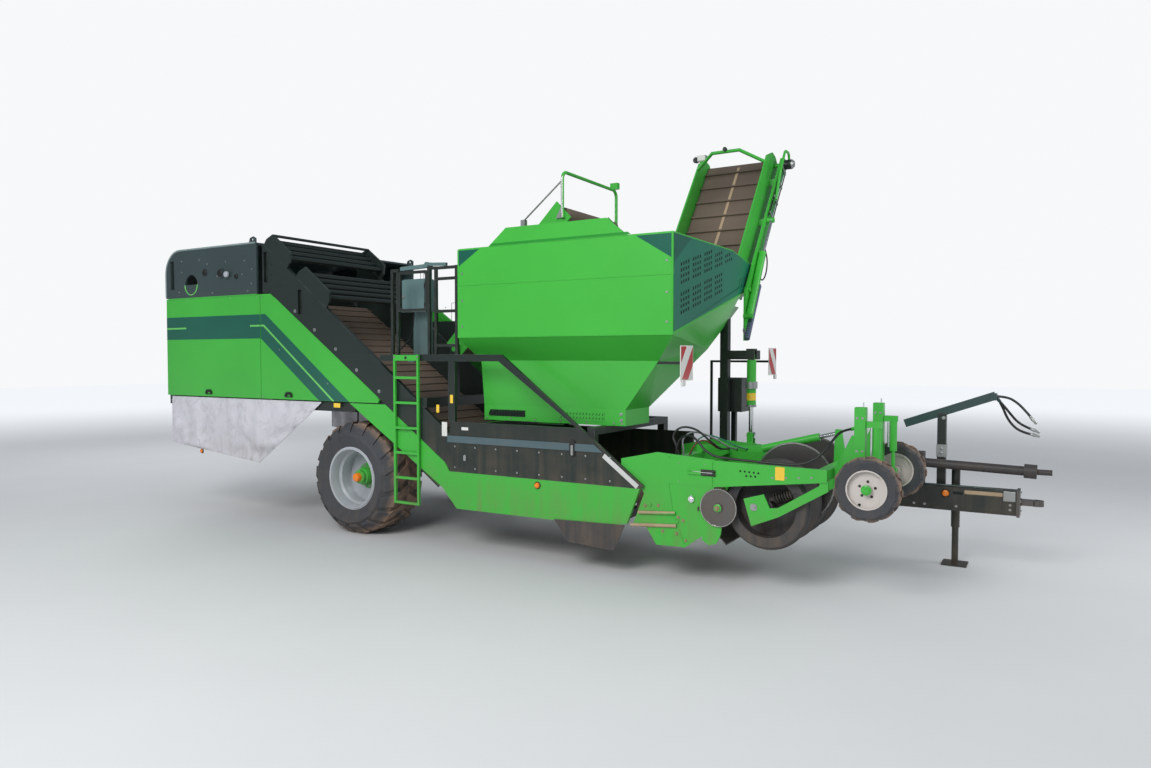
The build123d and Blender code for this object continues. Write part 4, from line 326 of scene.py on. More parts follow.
def turned(name, profile, place, facing, material, body="chassis", sides=48):
    """A piece turned about its axis from a profile of (radius, height) points; it is open where the profile is."""
    form = bmesh.new()
    ring = [form.verts.new((r, 0, h)) for r, h in profile]
    edges = [form.edges.new(pair) for pair in zip(ring, ring[1:])]
    bmesh.ops.spin(form, geom=ring + edges, cent=(0, 0, 0), axis=(0, 0, 1), angle=2 * pi, steps=sides,
                   use_merge=True, use_normal_flip=True)
    bmesh.ops.remove_doubles(form, verts=form.verts, dist=WELD)
    bmesh.ops.recalc_face_normals(form, faces=form.faces)
    mesh = made(form, name)
    mesh.shade_smooth()
    mesh.set_sharp_from_angle(angle=TURNED_SHARP)
    return put(name, stood(mesh, place, *facing), material, body)


for name, side in SIDES:
    low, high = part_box("main_rim_" + name)
    middle = Vector(((low.x + high.x) / 2, low.y if side < 0 else high.y, (low.z + high.z) / 2))
    lip = (high.z - low.z) / 2
    # Rolled lip and bead seat of the rim, hub with its stepped flange, and the cap
    turned("rim_lip_" + name, [(lip - inward, h) for inward, h in (
        (0.012, 0.001), (0.016, 0.010), (0.026, 0.013), (0.036, 0.008), (0.040, -0.012), (0.052, -0.045),
        (0.056, -0.12), (0.080, -0.15), (0.086, -0.24), (0.070, -0.28), (0.066, -0.33))],
        middle, FACING[side], rim_silver, "wheel_" + name, 72)
    turned("hub_" + name, [(0.17, -0.326), (0.168, -0.300), (0.15, -0.292), (0.118, -0.288), (0.112, -0.20),
                           (0.104, -0.185), (0.092, -0.180), (0.088, -0.135), (0.080, -0.125), (0.0, -0.125)],
           middle, FACING[side], green_paint, "wheel_" + name)
    turned("hub_cap_" + name, [(0.058, -0.126), (0.057, -0.085), (0.050, -0.070), (0.032, -0.062), (0.0, -0.060)],
           middle, FACING[side], lamp_orange, "wheel_" + name, 32)
    out = Vector((0, side, 0))
    bolt_heads("wheel_nuts_" + name, [middle + Vector((0.142 * cos(a), 0, 0.142 * sin(a))) - out * 0.290 for a in
                                      [2 * pi * i / 10 for i in range(10)]], 0.018, "wheel_" + name, facing=out)

# ---------------- dark side panels
# The slope walls beside the climbing web, the panel above the sill and the rear cage are folded sheet in a
# green-black. Hexagon bolts hold their lower seam, and a blue-grey rub rail runs along the long panel.
panel_paint = worn_finish("dark_panel_paint", (30, 41, 37), gloss=0.38, coat=0.12, soil=(0.6, 1.7, 0.4))
finish_nodes(panel_paint, "dark_side_right", "channel_wall_left", "rear_cage", "platform", "picking_table",
             "haulm_rollers")
rail_paint = worn_finish("rub_rail_paint", (74, 96, 102), gloss=0.4, soil=(0.8, 1.5, 0.3))
LIGHT_SOIL = (0.4, 1.6, 0.2)
white_film = worn_finish("white_film", (222, 222, 216), soil=(0.4, 2.2, 0.35), wear=0.2, edge=0.002)
yellow_film = worn_finish("yellow_reflector", (238, 196, 42), gloss=0.18, coat=0.6, soil=LIGHT_SOIL,
                          wear=0.0)
black_plastic = worn_finish("black_plastic", (26, 28, 29), gloss=0.45, coat=0.0, soil=(0.4, 1.7, 0.35),
                            wear=0.3)
SIDE = 1.62


def plate(name, outline, thick, place, facing, material, body="chassis", edge=0.0, holes=()):
    """A flat sheet cut to an outline, holes through it, that stands out of a face; a chamfer breaks its edges."""
    cut = bpy.data.curves.new("cut", "CURVE")
    cut.dimensions, cut.fill_mode, cut.extrude = "2D", "BOTH", thick / 2
    for ring in (outline, *holes):
        line = cut.splines.new("POLY")
        line.points.add(len(ring) - 1)
        for point, (u, v) in zip(line.points, ring):
            point.co = (u, v, 0, 1)
        line.use_cyclic_u = True
    form = bpy.data.objects.new("cut", cut)
    mesh = bpy.data.meshes.new_from_object(form)
    bpy.data.objects.remove(form)
    solid = bmesh.new()
    solid.from_mesh(mesh)
    bmesh.ops.remove_doubles(solid, verts=solid.verts, dist=0.00002)
    if edge:
        rims = [e for e in solid.edges if len(e.link_faces) == 2 and e.calc_face_angle(0) > 1.2
                and e.verts[0].co.z > 0 and e.verts[1].co.z > 0]
        bmesh.ops.bevel(solid, geom=rims, offset=edge, segments=2, affect="EDGES", profile=0.6)
    bmesh.ops.translate(solid, verts=solid.verts, vec=(0, 0, thick / 2))
    solid.to_mesh(mesh)
    solid.free()
    return put(name, stood(mesh, place, *facing), material, body)


def rounded(x0, x1, z0, z1, radius, steps=4):
    """The outline of a rectangle with rounded corners."""
    corners = ((x1 - radius, z1 - radius, 0), (x0 + radius, z1 - radius, 90), (x0 + radius, z0 + radius, 180),
               (x1 - radius, z0 + radius, 270))
    return [(x + radius * cos(radians(a + 90 * i / steps)), z + radius * sin(radians(a + 90 * i / steps)))
            for x, z, a in corners for i in range(steps + 1)]


def side_sheet(name, outline, thick, material, side=-1, body="chassis", out=SIDE, edge=0.0, holes=()):
    """A sheet on one side of the machine, its outline in X forward of the axle and Z, standing out from a face."""
    rings = [[(-side * x, z) for x, z in ring] for ring in (outline, *holes)]
    return plate(name, rings[0], thick, at(0, side * out, 0), FACING[side], material, body, edge, rings[1:])


def side_bolts(name, places, size, side=-1, out=SIDE + 0.001, body="chassis", material=zinc):
    """Bolt heads on one side of the machine, at places in X forward of the axle and Z."""
    return bolt_heads(name, [at(x, side * out, z) for x, z in places], size, body, material, (0, side, 0))


# Seam bolts down the slope on both sides, and the row of screws under the ridge
for name, side in SIDES:
    side_bolts("slope_bolts_" + name, ((-1.02, 2.944), (-0.64, 2.683), (-0.245, 2.424), (0.135, 2.151),
                                       (0.526, 1.885)), 0.022, side)
    side_bolts("ridge_screws_" + name, ((-1.5, 3.6), (-1.5, 3.46), (-1.32, 3.3), (-1.1, 3.16), (-0.88, 3.02),
                                        (-0.62, 3.08), (-0.3, 2.84), (0.02, 2.6), (0.34, 2.36), (0.66, 2.12)),
               0.009, side, material=black_plastic)

# Rub rail, rubbed strip, reflectors, blank labels, latch, eye, sill screws and marker lamps of the long panel
side_sheet("rub_rail", [(1.64, 1.302), (3.765, 1.302), (3.66, 1.382), (1.64, 1.382)], 0.012, rail_paint, edge=0.002)
worn_bright = worn_finish("worn_bright_steel", (214, 214, 211), gloss=0.3, coat=0.0, metallic=0.3,
                          soil=LIGHT_SOIL, wear=0.2)
side_sheet("worn_strip", [(3.788, 1.294), (4.193, 0.991), (4.162, 0.949), (3.757, 1.252)], 0.006, worn_bright,
           edge=0.001)
LABEL = 0.0012
for name, extent, radius, thick, material, edge in (
        ("blank_label", (1.55, 1.63, 1.37, 1.54), 0.006, LABEL, white_film, 0.0),
        ("wall_reflector", (1.467, 1.511, 1.65, 1.745), 0.004, 0.004, yellow_film, 0.001),
        ("post_reflector", (1.68, 1.724, 1.77, 1.87), 0.004, 0.004, yellow_film, 0.001),
        ("small_label", (1.85, 1.95, 1.455, 1.49), 0.004, LABEL, white_film, 0.0),
        ("panel_latch", (3.351, 3.421, 1.235, 1.42), 0.03, 0.016, black_plastic, 0.003),
        ("panel_latch_handle", (3.371, 3.401, 1.25, 1.365), 0.014, 0.02, zinc, 0.004),
        ("panel_eye", (1.88, 1.918, 1.09, 1.165), 0.018, 0.01, zinc, 0.003)):
    side_sheet(name, rounded(*extent, radius), thick, material, edge=edge)
side_bolts("sill_screws", [(x, z) for z in (1.255, 1.005) for x in (1.75, 2.05, 2.35, 2.65, 2.95, 3.25, 3.55, 3.85)],
           0.01)


def side_lamp(name, place, side, radius, body="chassis"):
    """A round marker lamp: a domed orange lens in a black ring."""
    for part, material, profile in (
            ("", lamp_orange, ((1, 0.004), (0.98, 0.016), (0.82, 0.026), (0.45, 0.031), (0, 0.032))),
            ("_ring", black_plastic, ((1.28, 0.0), (1.26, 0.008), (1.12, 0.012), (1, 0.008), (1, 0.0)))):
        turned(name + part, [(radius * wide, h) for wide, h in profile], place, FACING[side], material, body, 28)


for name, side in SIDES:
    side_lamp("sill_lamp_" + name, at(2.93, side * SIDE, 0.885), side, 0.032)

# ---------------- green body sheets and doors
# Doors, lower bands, bunker, digger and ladder are sheet and tube in one bright green enamel. The doors carry a
# deep teal band of film with a thin light line in it, black latches below and screws along their edges.
finish_nodes(green_paint, "side_band_right", "side_band_left", "rear_door_right", "rear_door_left",
             "front_door_right", "front_door_left", "ladder", "bunker_shell", "bunker_flap", "fill_conveyor",
             "discharge_frame", "lift_barrel", "digger_frame", "diabolo_frame", "gauge_frame")
teal_film = worn_finish("teal_film", (12, 90, 72), gloss=0.3, coat=0.2, soil=LIGHT_SOIL, wear=0.15)
line_film = worn_finish("light_green_film", (104, 196, 92), gloss=0.24, coat=0.4, soil=LIGHT_SOIL, wear=0.1)
FILM = 0.0009
DOOR_REAR, DOOR_SEAM = -3.924, -1.746


def oblong(x0, x1, z0, z1):
    """The outline of a rectangle."""
    return [(x0, z0), (x1, z0), (x1, z1), (x0, z1)]


for name, side in SIDES:
    rear, front = "rear_door_" + name, "front_door_" + name
    side_sheet("band_" + rear, oblong(DOOR_REAR, DOOR_SEAM, 2.58, 2.92), FILM, teal_film, side, rear)
    side_sheet("line_rear_" + rear, oblong(DOOR_REAR, -3.44, 2.738, 2.762), 2 * FILM, line_film, side, rear)
    side_sheet("line_front_" + rear, oblong(-1.96, DOOR_SEAM, 2.748, 2.772), 2 * FILM, line_film, side, rear)
    side_sheet("band_" + front, [(-1.733, 2.58), (-0.572, 1.737), (-0.012, 1.737), (-1.632, 2.92), (-1.733, 2.92)],
               FILM, teal_film, side, front)
    side_sheet("line_" + front, [(-1.733, 2.748), (-1.674, 2.748), (-0.322, 1.737), (-0.278, 1.737), (-1.66, 2.772),
                                 (-1.733, 2.772)], 2 * FILM, line_film, side, front)
    for door, x in ((rear, -2.911), (front, -1.163)):
        latch = [(x + u, z) for u, z in ((-0.075, 1.768), (0.075, 1.768), (0.075, 1.805), (0.045, 1.838),
                                         (-0.045, 1.838), (-0.075, 1.805))]
        grip = rounded(x - 0.038, x + 0.038, 1.778, 1.802, 0.008)
        side_sheet("latch_" + door, latch, 0.016, black_plastic, side, door, edge=0.004, holes=[grip])
    side_bolts("screws_" + rear, [(x, z) for x in (-3.88, -3.4, -2.4, -1.8) for z in (1.765, 3.165)], 0.008, side,
               SIDE + 0.0005, rear)
    side_bolts("screws_" + front, ((-1.342, 2.42), (-0.401, 1.968), (-1.7, 1.765), (-1.7, 3.165)), 0.01, side,
               SIDE + 0.002, front)
    side_sheet("strip_reflector_" + name, rounded(-0.29, -0.17, 1.655, 1.712, 0.004), 0.004, yellow_film, side,
               edge=0.001)

# ---------------- rear hood
# A box hood in grey enamel with a rounded rear edge. A rubber bead runs along its open edges, the half-round
# opening has a green guard ring, and caps, grommets and screws sit on both side walls.
hood_paint = worn_finish("hood_paint", (52, 67, 68), gloss=0.45, coat=0.12, soil=(2.8, 3.3, 0.3), wear=0.4)
finish_nodes(hood_paint, "rear_hood")
bead_rubber = worn_finish("bead_rubber", (128, 146, 146), gloss=0.5, coat=0.0, soil=(3.0, 4.2, 0.2),
                          wear=0.3)


def round_line(name, points, width, smooth, closed, roundness, steps):
    """A curve of round section through points; a smooth one bends like hose."""
    line = bpy.data.curves.new(name, "CURVE")
    line.dimensions, line.bevel_depth, line.bevel_resolution, line.use_fill_caps = "3D", width / 2, roundness, True
    spline = line.splines.new("NURBS" if smooth else "POLY")
    spline.points.add(len(points) - 1)
    for point, place in zip(spline.points, points):
        point.co = (*place, 1)
    spline.use_cyclic_u = closed
    if smooth:
        spline.order_u, spline.use_endpoint_u, line.resolution_u = 3, True, steps
    return line


BAR_SHARP = radians(40)


def round_bar(name, points, width, material, body="chassis", smooth=False, closed=False):
    """A round bar, tube or bead through points, as a mesh."""
    piece = bpy.data.objects.new(name, round_line(name, points, width, smooth, closed, 3, 8))
    mesh = bpy.data.meshes.new_from_object(piece)
    bpy.data.objects.remove(piece)
    mesh.shade_smooth()
    mesh.set_sharp_from_angle(angle=BAR_SHARP)
    return put(name, mesh, material, body)


HOOD_REAR, HOOD_TOP, HOOD_BEND = -3.93, 3.93, 0.35
hood_edge = [(HOOD_REAR, 3.23), *((HOOD_REAR + HOOD_BEND - HOOD_BEND * cos(radians(a)),
                                   HOOD_TOP - HOOD_BEND + HOOD_BEND * sin(radians(a))) for a in range(0, 91, 9)),
             (-1.83, HOOD_TOP)]
EYE_X, EYE_Z, EYE_RADIUS = -3.3, 3.4, 0.15
for name, side in SIDES:
    round_bar("hood_bead_" + name, [at(x, side * (SIDE - 0.006), z) for x, z in hood_edge], 0.03, bead_rubber)
    # Guard ring round the half-round opening
    arc = [at(EYE_X + EYE_RADIUS * cos(radians(a)), side * (SIDE + 0.002), EYE_Z + EYE_RADIUS * sin(radians(a)))
           for a in range(180, 361, 10)]
    round_bar("hood_eye_ring_" + name, arc, 0.016, line_film)
    # Pale cap on the shaft end, and dark grommets beside and under it
    turned("hood_cap_" + name, [(0.044, 0.028), (0.043, 0.05), (0.036, 0.06), (0.0, 0.063)],
           at(-2.42, side * SIDE, 3.51), FACING[side], rim_silver, sides=28)
    for number, (x, z, r, proud) in enumerate(((-2.97, 3.565, 0.052, 0), (-2.25, 3.475, 0.036, 0),
                                               (-2.598, 3.54, 0.055, 0.014))):
        turned(f"hood_grommet_{number}_{name}", [(r, 0.0), (r, 0.01), (r * 0.85, 0.016), (r * 0.55, 0.014),
                                                 (r * 0.5, 0.006), (0, 0.006)],
               at(x, side * (SIDE + proud), z), FACING[side], black_plastic, sides=24)
    side_bolts("hood_screws_" + name, (
        (-3.53, 3.765), (-3.53, 3.6), (-2.91, 3.69), (-3.1, 3.76), (-2.48, 3.7), (-2.07, 3.69), (-1.91, 3.56),
        (-2.68, 3.5), (-1.92, 3.36), (-2.12, 3.5), (-3.6, 3.3), (-2.0, 3.26), (-2.8, 3.26)), 0.011, side)
    # Bead in the long air slots of the hood and of the slope wall
    for number, (x, z0, z1) in enumerate(((-3.765, 3.35, 3.77), (-1.615, 3.36, 3.78), (-0.925, 2.9, 3.23))):
        loop = rounded(x - 0.038, x + 0.038, z0 - 0.003, z1 + 0.003, 0.003, 1)
        round_bar(f"slot_bead_{number}_{name}", [at(u, side * (SIDE + 0.001), v) for u, v in loop], 0.008,
                  black_plastic, closed=True)
bolt_heads("hood_roof_pins", [at(x, y, HOOD_TOP + 0.001) for x in (-2.584, -1.967) for y in (-1.58, 1.58)], 0.016,
           facing=UP)

# Tail panel: lamp boards under the hood's rear edge, and a blank plate between them
red_film = worn_finish("red_reflector", (186, 40, 34), gloss=0.18, coat=0.6, soil=LIGHT_SOIL, wear=0.0)
REAR_SIDE = ((0, -1, 0), UP)
for name, side in SIDES:
    plate("tail_board_" + name, rounded(-0.3, 0.3, 1.44, 1.58, 0.012), 0.025, at(-3.93, side * 1.18, 0), REAR_SIDE,
          black_plastic, edge=0.004)
    for number, (u, film) in enumerate(((-0.2, red_film), (-0.06, lamp_orange), (0.08, white_film), (0.21, red_film))):
        plate(f"tail_lens_{number}_{name}", rounded(u - 0.055, u + 0.055, 1.46, 1.56, 0.012), 0.02,
              at(-3.955, side * 1.18, 0), REAR_SIDE, film, edge=0.006)
plate("blank_rear_plate", rounded(-0.26, 0.26, 1.45, 1.57, 0.01), 0.004, at(-3.932, 0, 0), REAR_SIDE, white_film,
      edge=0.001)

# ---------------- canvas skirts
# Aprons of coated canvas hang from a batten inside the black strip and are tied at their lower rear corner and
# at the point. Each is cut flat, hung in a short cloth run, and has a welded hem tape along its free edges.
canvas_cloth, tree, shader = new_material("canvas_cloth")
tone = add(tree, SHEET_TONE, {"Paint": chart(208, 206, 212), "Change": 0.07})
dirt = add(tree, DRIED_SOIL, {"Low": 0.72, "High": 1.42, "Amount": 0.55})
rubs = ramp(tree, speckle(tree, 5.5, 9.0, Roughness=0.7, Distortion=1.2), 0.5, 0.62, 0.0, 0.28)
feed(shader, {"Base Color": over(tree, dirt, over(tree, rubs, tone, chart(150, 146, 152)), chart(150, 136, 120)),
              "Roughness": 0.58, "Sheen Weight": 0.25})
CANVAS_REAR, CANVAS_FRONT, CANVAS_TOP = -3.85, -0.55, 1.718
CANVAS_LOW, CANVAS_CORNER_Z, CANVAS_CELL = 0.825, 1.012, 0.045
CANVAS_LONG, CANVAS_DEEP = CANVAS_FRONT - CANVAS_REAR, CANVAS_TOP - CANVAS_LOW
CANVAS_POINT = Vector((-1.81, 0, CANVAS_LOW))
STRIP_FACE, HANG_FACE, HANG_FRAMES, SLACK, CREASE = 1.5865, 1.599, 36, (0.022, 0.012, 0.004), 0.017


def trimmed(form, place, away):
    """Cuts off what lies beyond a plane."""
    bmesh.ops.bisect_plane(form, geom=[*form.verts, *form.edges, *form.faces], plane_co=place, plane_no=away,
                           clear_outer=True)


def hung_canvas(name, side):
    """The apron: a grid cut to its outline, held along its borders, hung in a cloth run and creased."""
    form = bmesh.new()
    across, down = round(CANVAS_LONG / CANVAS_CELL), round(CANVAS_DEEP / CANVAS_CELL)
    rows = [[form.verts.new((CANVAS_REAR + i * CANVAS_LONG / across, 0, CANVAS_TOP - j * CANVAS_DEEP / down))
             for i in range(across + 1)] for j in range(down + 1)]
    for upper, lower in zip(rows, rows[1:]):
        for i in range(across):
            form.faces.new((upper[i], upper[i + 1], lower[i + 1], lower[i]))
    for end in (Vector((CANVAS_REAR, 0, CANVAS_CORNER_Z)), Vector((CANVAS_FRONT, 0, CANVAS_TOP - 0.01))):
        along = end - CANVAS_POINT
        trimmed(form, CANVAS_POINT, Vector((along.z, 0, -along.x)) * (1 if along.x > 0 else -1))
    bmesh.ops.triangulate(form, faces=form.faces)
    form.verts.ensure_lookup_table()
    held = []
    for vertex in form.verts:
        x, z = vertex.co.x, vertex.co.z
        drop = (CANVAS_TOP - z) / CANVAS_DEEP
        ease = (SLACK[0] * noise.noise((x * 1.4 + z * 2.4, side * 3.1, z * 0.7))
                + SLACK[1] * noise.noise((x * 5.0, side, z * 2.0)))
        if z > CANVAS_TOP - 0.002 or vertex.is_boundary:
            held.append(vertex.index)
            ease = SLACK[2] * sin(x * 17.0)
        vertex.co = at(x, side * (HANG_FACE + drop * 0.006 + ease), z)
    piece = bpy.data.objects.new(name, made(form, name))
    scene.collection.objects.link(piece)
    piece.vertex_groups.new(name="held").add(held, 1.0, "REPLACE")
    hang = piece.modifiers.new("hang", "CLOTH")
    for setting, value in (("vertex_group_mass", "held"), ("quality", 7), ("mass", 0.35), ("tension_stiffness", 18),
                           ("compression_stiffness", 18), ("bending_stiffness", 3.5), ("shrink_min", -0.03)):
        setattr(hang.settings, setting, value)
    hang.collision_settings.use_collision = False
    for moment in range(1, HANG_FRAMES + 1):
        scene.frame_set(moment)
    shape = bpy.data.meshes.new_from_object(piece.evaluated_get(bpy.context.evaluated_depsgraph_get()))
    for vertex in shape.vertices:
        # Creases run through the cloth between its borders; the strip's face lies behind it all along
        x, z = vertex.co.x, vertex.co.z
        bend = abs(noise.noise((x * 1.9 + z * 1.5, side * 5.3, z * 2.1 - x * 0.8)))
        crease = 0.0 if vertex.index in held else CREASE * max(0.0, 1.0 - 5.0 * bend)
        vertex.co.y = CENTRE_Y + side * max(STRIP_FACE, side * (vertex.co.y - CENTRE_Y) + crease)
    piece.modifiers.clear()
    piece.data = shape
    scene.frame_set(1)
    return piece


for name, side in SIDES:
    apron = hung_canvas("canvas_apron_" + name, side)
    apron.data.materials.append(canvas_cloth)
    apron.data.shade_smooth()
    # The hem tape follows the hung edge
    loose = bmesh.new()
    loose.from_mesh(apron.data)
    border = {v for e in loose.edges if e.is_boundary for v in e.verts}
    low_edge = sorted((v.co.copy() for v in border if v.co.z < CANVAS_TOP - 0.03), key=lambda co: co.x)
    loose.free()
    turn_x = at(CANVAS_REAR + 0.03, 0, 0).x
    rear_edge = sorted((co for co in low_edge if co.x < turn_x), key=lambda co: co.z)
    hem = round_bar("canvas_hem_" + name, [rear_edge[0], *(co for co in low_edge if co.x >= turn_x)], 0.012,
                    canvas_cloth)
    side_hem = round_bar("canvas_side_hem_" + name, rear_edge, 0.012, canvas_cloth)
    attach(apron, "chassis")
    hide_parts("canvas_skirt")
    # A flat strap comes down from the black strip behind the cloth and carries the marker lamp below its edge
    side_sheet("tail_lamp_strap_" + name, rounded(-3.172, -3.128, 0.868, 1.7, 0.006), 0.005, black_plastic, side,
               out=1.578, edge=0.001)
    side_lamp("tail_lamp_" + name, at(-3.15, side * 1.583, 0.905), side, 0.028)

# ---------------- ladder, platform and control cabinet
# The ladder and its rungs are green square tube; the deck is chequered plate behind a black tube railing. A
# blue-grey cabinet with a round lock stands on it, under a folded arm with its cable.
cabinet_paint = worn_finish("cabinet_paint", (96, 124, 124), gloss=0.33, soil=(2.4, 3.0, 0.25),
                            wear=0.4)
finish_nodes(cabinet_paint, "control_cabinet")
CABINET_OUT, FROM_ABOVE = 1.25, ((1, 0, 0), (0, 1, 0))
side_sheet("cabinet_door", rounded(0.582, 0.968, 2.912, 3.298, 0.012), 0.014, cabinet_paint, out=CABINET_OUT,
           edge=0.003)
turned("cabinet_lock", [(0.022, 0.014), (0.022, 0.02), (0.017, 0.026), (0.009, 0.026), (0.008, 0.02), (0.0, 0.02)],
       at(0.615, -CABINET_OUT, 3.1), RIGHT_SIDE, zinc, sides=24)
for number, z in enumerate((2.98, 3.23)):
    turned(f"cabinet_hinge_{number}", [(0.0, -0.03), (0.009, -0.03), (0.009, 0.03), (0.0, 0.03)],
           at(0.975, -CABINET_OUT - 0.012, z), FROM_ABOVE, black_plastic, sides=16)
round_bar("cabinet_cable", [at(*p) for p in ((0.7, -1.16, 2.902), (0.7, -1.16, 2.8), (0.72, -1.2, 2.68),
                                             (0.75, -1.28, 2.56), (0.76, -1.4, 2.47), (0.76, -1.5, 2.4))],
          0.016, black_plastic, smooth=True)

# Chequered deck plate: short raised bars in two leaning directions
DECK_X, DECK_Y, DECK_TOP = (0.56, 1.72), (-1.57, -1.07), 2.3505
TREAD_PITCH, TREAD_REACH, TREAD_WIDE, TREAD_TALL = 0.055, 0.017, 0.006, 0.004
form = bmesh.new()
for i in range(int((DECK_X[1] - DECK_X[0]) / TREAD_PITCH)):
    for j in range(int((DECK_Y[1] - DECK_Y[0]) / TREAD_PITCH)):
        lean = radians(45 if (i + j) % 2 else -45)
        u, v = DECK_X[0] + (i + 0.5) * TREAD_PITCH, DECK_Y[0] + (j + 0.5) * TREAD_PITCH
        tail, nose = [Vector((u + s * TREAD_REACH * cos(lean), v + s * TREAD_REACH * sin(lean), 0)) for s in (-1, 1)]
        out = Vector((-sin(lean), cos(lean), 0)) * TREAD_WIDE
        low = [form.verts.new(at(p.x, p.y, DECK_TOP)) for p in (tail, nose - 0.4 * out, nose + out)]
        crest = [form.verts.new(at(p.x, p.y, DECK_TOP + TREAD_TALL)) for p in (tail * 0.8 + nose * 0.2,
                                                                               tail * 0.2 + nose * 0.8)]
        for face in ((low[0], low[1], crest[1], crest[0]), (low[1], low[2], crest[1]),
                     (low[2], low[0], crest[0], crest[1])):
            form.faces.new(face)
bmesh.ops.recalc_face_normals(form, faces=form.faces)
put("deck_tread", made(form, "deck_tread"), panel_paint)

# Ladder: end plugs in the stiles and the pivot bolts at the top
low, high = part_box("ladder")
for name, x in (("rear", 0.825), ("front", 1.205)):
    plate("ladder_plug_" + name, rounded(-0.0148, 0.0148, -0.0148, 0.0148, 0.004), 0.008,
          Vector((AXLE_X + x, (low.y + high.y) / 2, low.z)), ((1, 0, 0), (0, -1, 0)), black_plastic, "ladder", 0.002)
    bolt_heads("ladder_pivot_" + name, [Vector((AXLE_X + x, low.y - 0.001, high.z - 0.03))], 0.013, "ladder")
# Pale blue level gauge on the platform's beam
side_sheet("beam_gauge", rounded(1.03, 1.13, 2.255, 2.345, 0.012), 0.03, cabinet_paint, out=1.606, edge=0.006)

# ---------------- bunker
# A folded-sheet hopper in green enamel. Its front wall is skinned with a deep teal sheet, pierced by groups of
# square holes through which the driver sees the crop, and small triangles in the same film close the corners.
teal_paint = worn_finish("teal_enamel", (22, 112, 88), gloss=0.32, coat=0.2, soil=(1.8, 2.5, 0.3), wear=0.4)
# Near-black paint for painted shade: flat sheets and discs of it fill holes and slots where only shade is seen
shadow_paint = worn_finish("hole_shadow", (10, 26, 22), gloss=0.8, coat=0.0, soil=(0.0, 1.0, 0.1),
                           wear=0.0)
BUNKER_FRONT, BUNKER_REAR, BUNKER_TOP, BUNKER_FAR = 4.57, 1.8, 3.58, 0.92
FOLD_NEAR, FOLD_FAR = 2.55, 3.22
FOLD_RUN, FOLD_RISE = BUNKER_FAR + SIDE, FOLD_FAR - FOLD_NEAR


def fold_z(y):
    """Height of the front wall's inclined lower fold, y left of the centre plane."""
    return FOLD_NEAR + (y + SIDE) / FOLD_RUN * FOLD_RISE


HOLE, HOLE_PITCH, GROUP_PITCH = 0.036, 0.062, 0.32
FRONT_SIDE = ((0, 1, 0), UP)
hole_rise = FOLD_RISE / FOLD_RUN * HOLE
holes = []
for count, above in ((4, 0.16), (5, 0.47)):
    for group in range(count):
        for i in range(4):
            for j in range(4):
                y = -1.44 + group * GROUP_PITCH + i * HOLE_PITCH
                z = fold_z(y) + above + j * HOLE_PITCH
                if z + HOLE < BUNKER_TOP - 0.04:
                    holes.append([(y, z), (y + HOLE, z + hole_rise), (y + HOLE, z + HOLE + hole_rise), (y, z + HOLE)])
for number in range(4):
    y = 0.3 + number * 0.085
    z = fold_z(y) + 0.1
    holes.append([(y + u, z + v) for u, v in ((0, 0), (0.024, 0.01), (0.075, 0.12), (0.051, 0.11))])
# The holed teal skin stands over a near-black sheet of painted shade that shows through its holes
for name, thick, proud, material, rings, outline in (
        ("front_wall_skin", 0.003, 0.0015, teal_paint, holes,
         [(-SIDE + 0.012, FOLD_NEAR + 0.03), (BUNKER_FAR - 0.01, FOLD_FAR + 0.012), (BUNKER_FAR - 0.01, 3.445),
          (0.1, BUNKER_TOP - 0.006), (-SIDE + 0.012, BUNKER_TOP - 0.006)]),
        ("front_wall_shade_sheet", 0.0012, 0.0, shadow_paint, (),
         [(-SIDE + 0.03, FOLD_NEAR + 0.06), (BUNKER_FAR - 0.05, FOLD_FAR + 0.04), (BUNKER_FAR - 0.05, 3.42),
          (0.1, BUNKER_TOP - 0.03), (-SIDE + 0.03, BUNKER_TOP - 0.03)]),
        ("front_corner_film", FILM, 0.0046, teal_film, (),
         [(-SIDE + 0.014, BUNKER_TOP - 0.008), (-SIDE + 0.014, BUNKER_TOP - 0.3),
          (-SIDE + 0.46, BUNKER_TOP - 0.008)])):
    plate(name, outline, thick, at(BUNKER_FRONT + proud, 0, 0), FRONT_SIDE, material, holes=rings)
for number, (x0, x1, x2, drop) in enumerate((
        (BUNKER_REAR + 0.01, BUNKER_REAR + 0.32, BUNKER_REAR + 0.01, 0.2),
        (BUNKER_FRONT - 0.42, BUNKER_FRONT - 0.008, BUNKER_FRONT - 0.008, 0.26))):
    side_sheet(f"side_corner_film_{number}",
               [(x0, BUNKER_TOP - 0.008), (x1, BUNKER_TOP - 0.008), (x2, BUNKER_TOP - drop)], FILM, teal_film)

# Rolled rim round the top, the seam where the upper board is joined, and the fold that starts the slope
rim_y, rim_z, seam_y = -SIDE + 0.012, BUNKER_TOP + 0.002, -SIDE - 0.001
for name, width, points in (
        ("bunker_rim", 0.022, ((BUNKER_REAR + 0.01, rim_y, rim_z), (BUNKER_FRONT - 0.01, rim_y, rim_z),
                               (BUNKER_FRONT - 0.012, 0.1, rim_z), (BUNKER_FRONT - 0.012, 0.9, 3.463))),
        *((name, width, ((BUNKER_REAR + 0.006, seam_y, z), (BUNKER_FRONT - 0.006, seam_y, z)))
          for name, width, z in (("bunker_seam", 0.007, 3.158), ("bunker_fold", 0.01, FOLD_NEAR))),
        *((name, 0.022, ((x, -SIDE + 0.006, BUNKER_TOP), (x, -SIDE + 0.006, FOLD_NEAR)))
          for name, x in (("bunker_corner_0", BUNKER_REAR + 0.012), ("bunker_corner_1", BUNKER_FRONT - 0.012)))):
    round_bar(name, [at(*p) for p in points], width, green_paint)
side_bolts("bunker_side_bolts", [(x, z) for x in (1.87, 4.5) for z in (2.68, 2.98, 3.3)], 0.012)
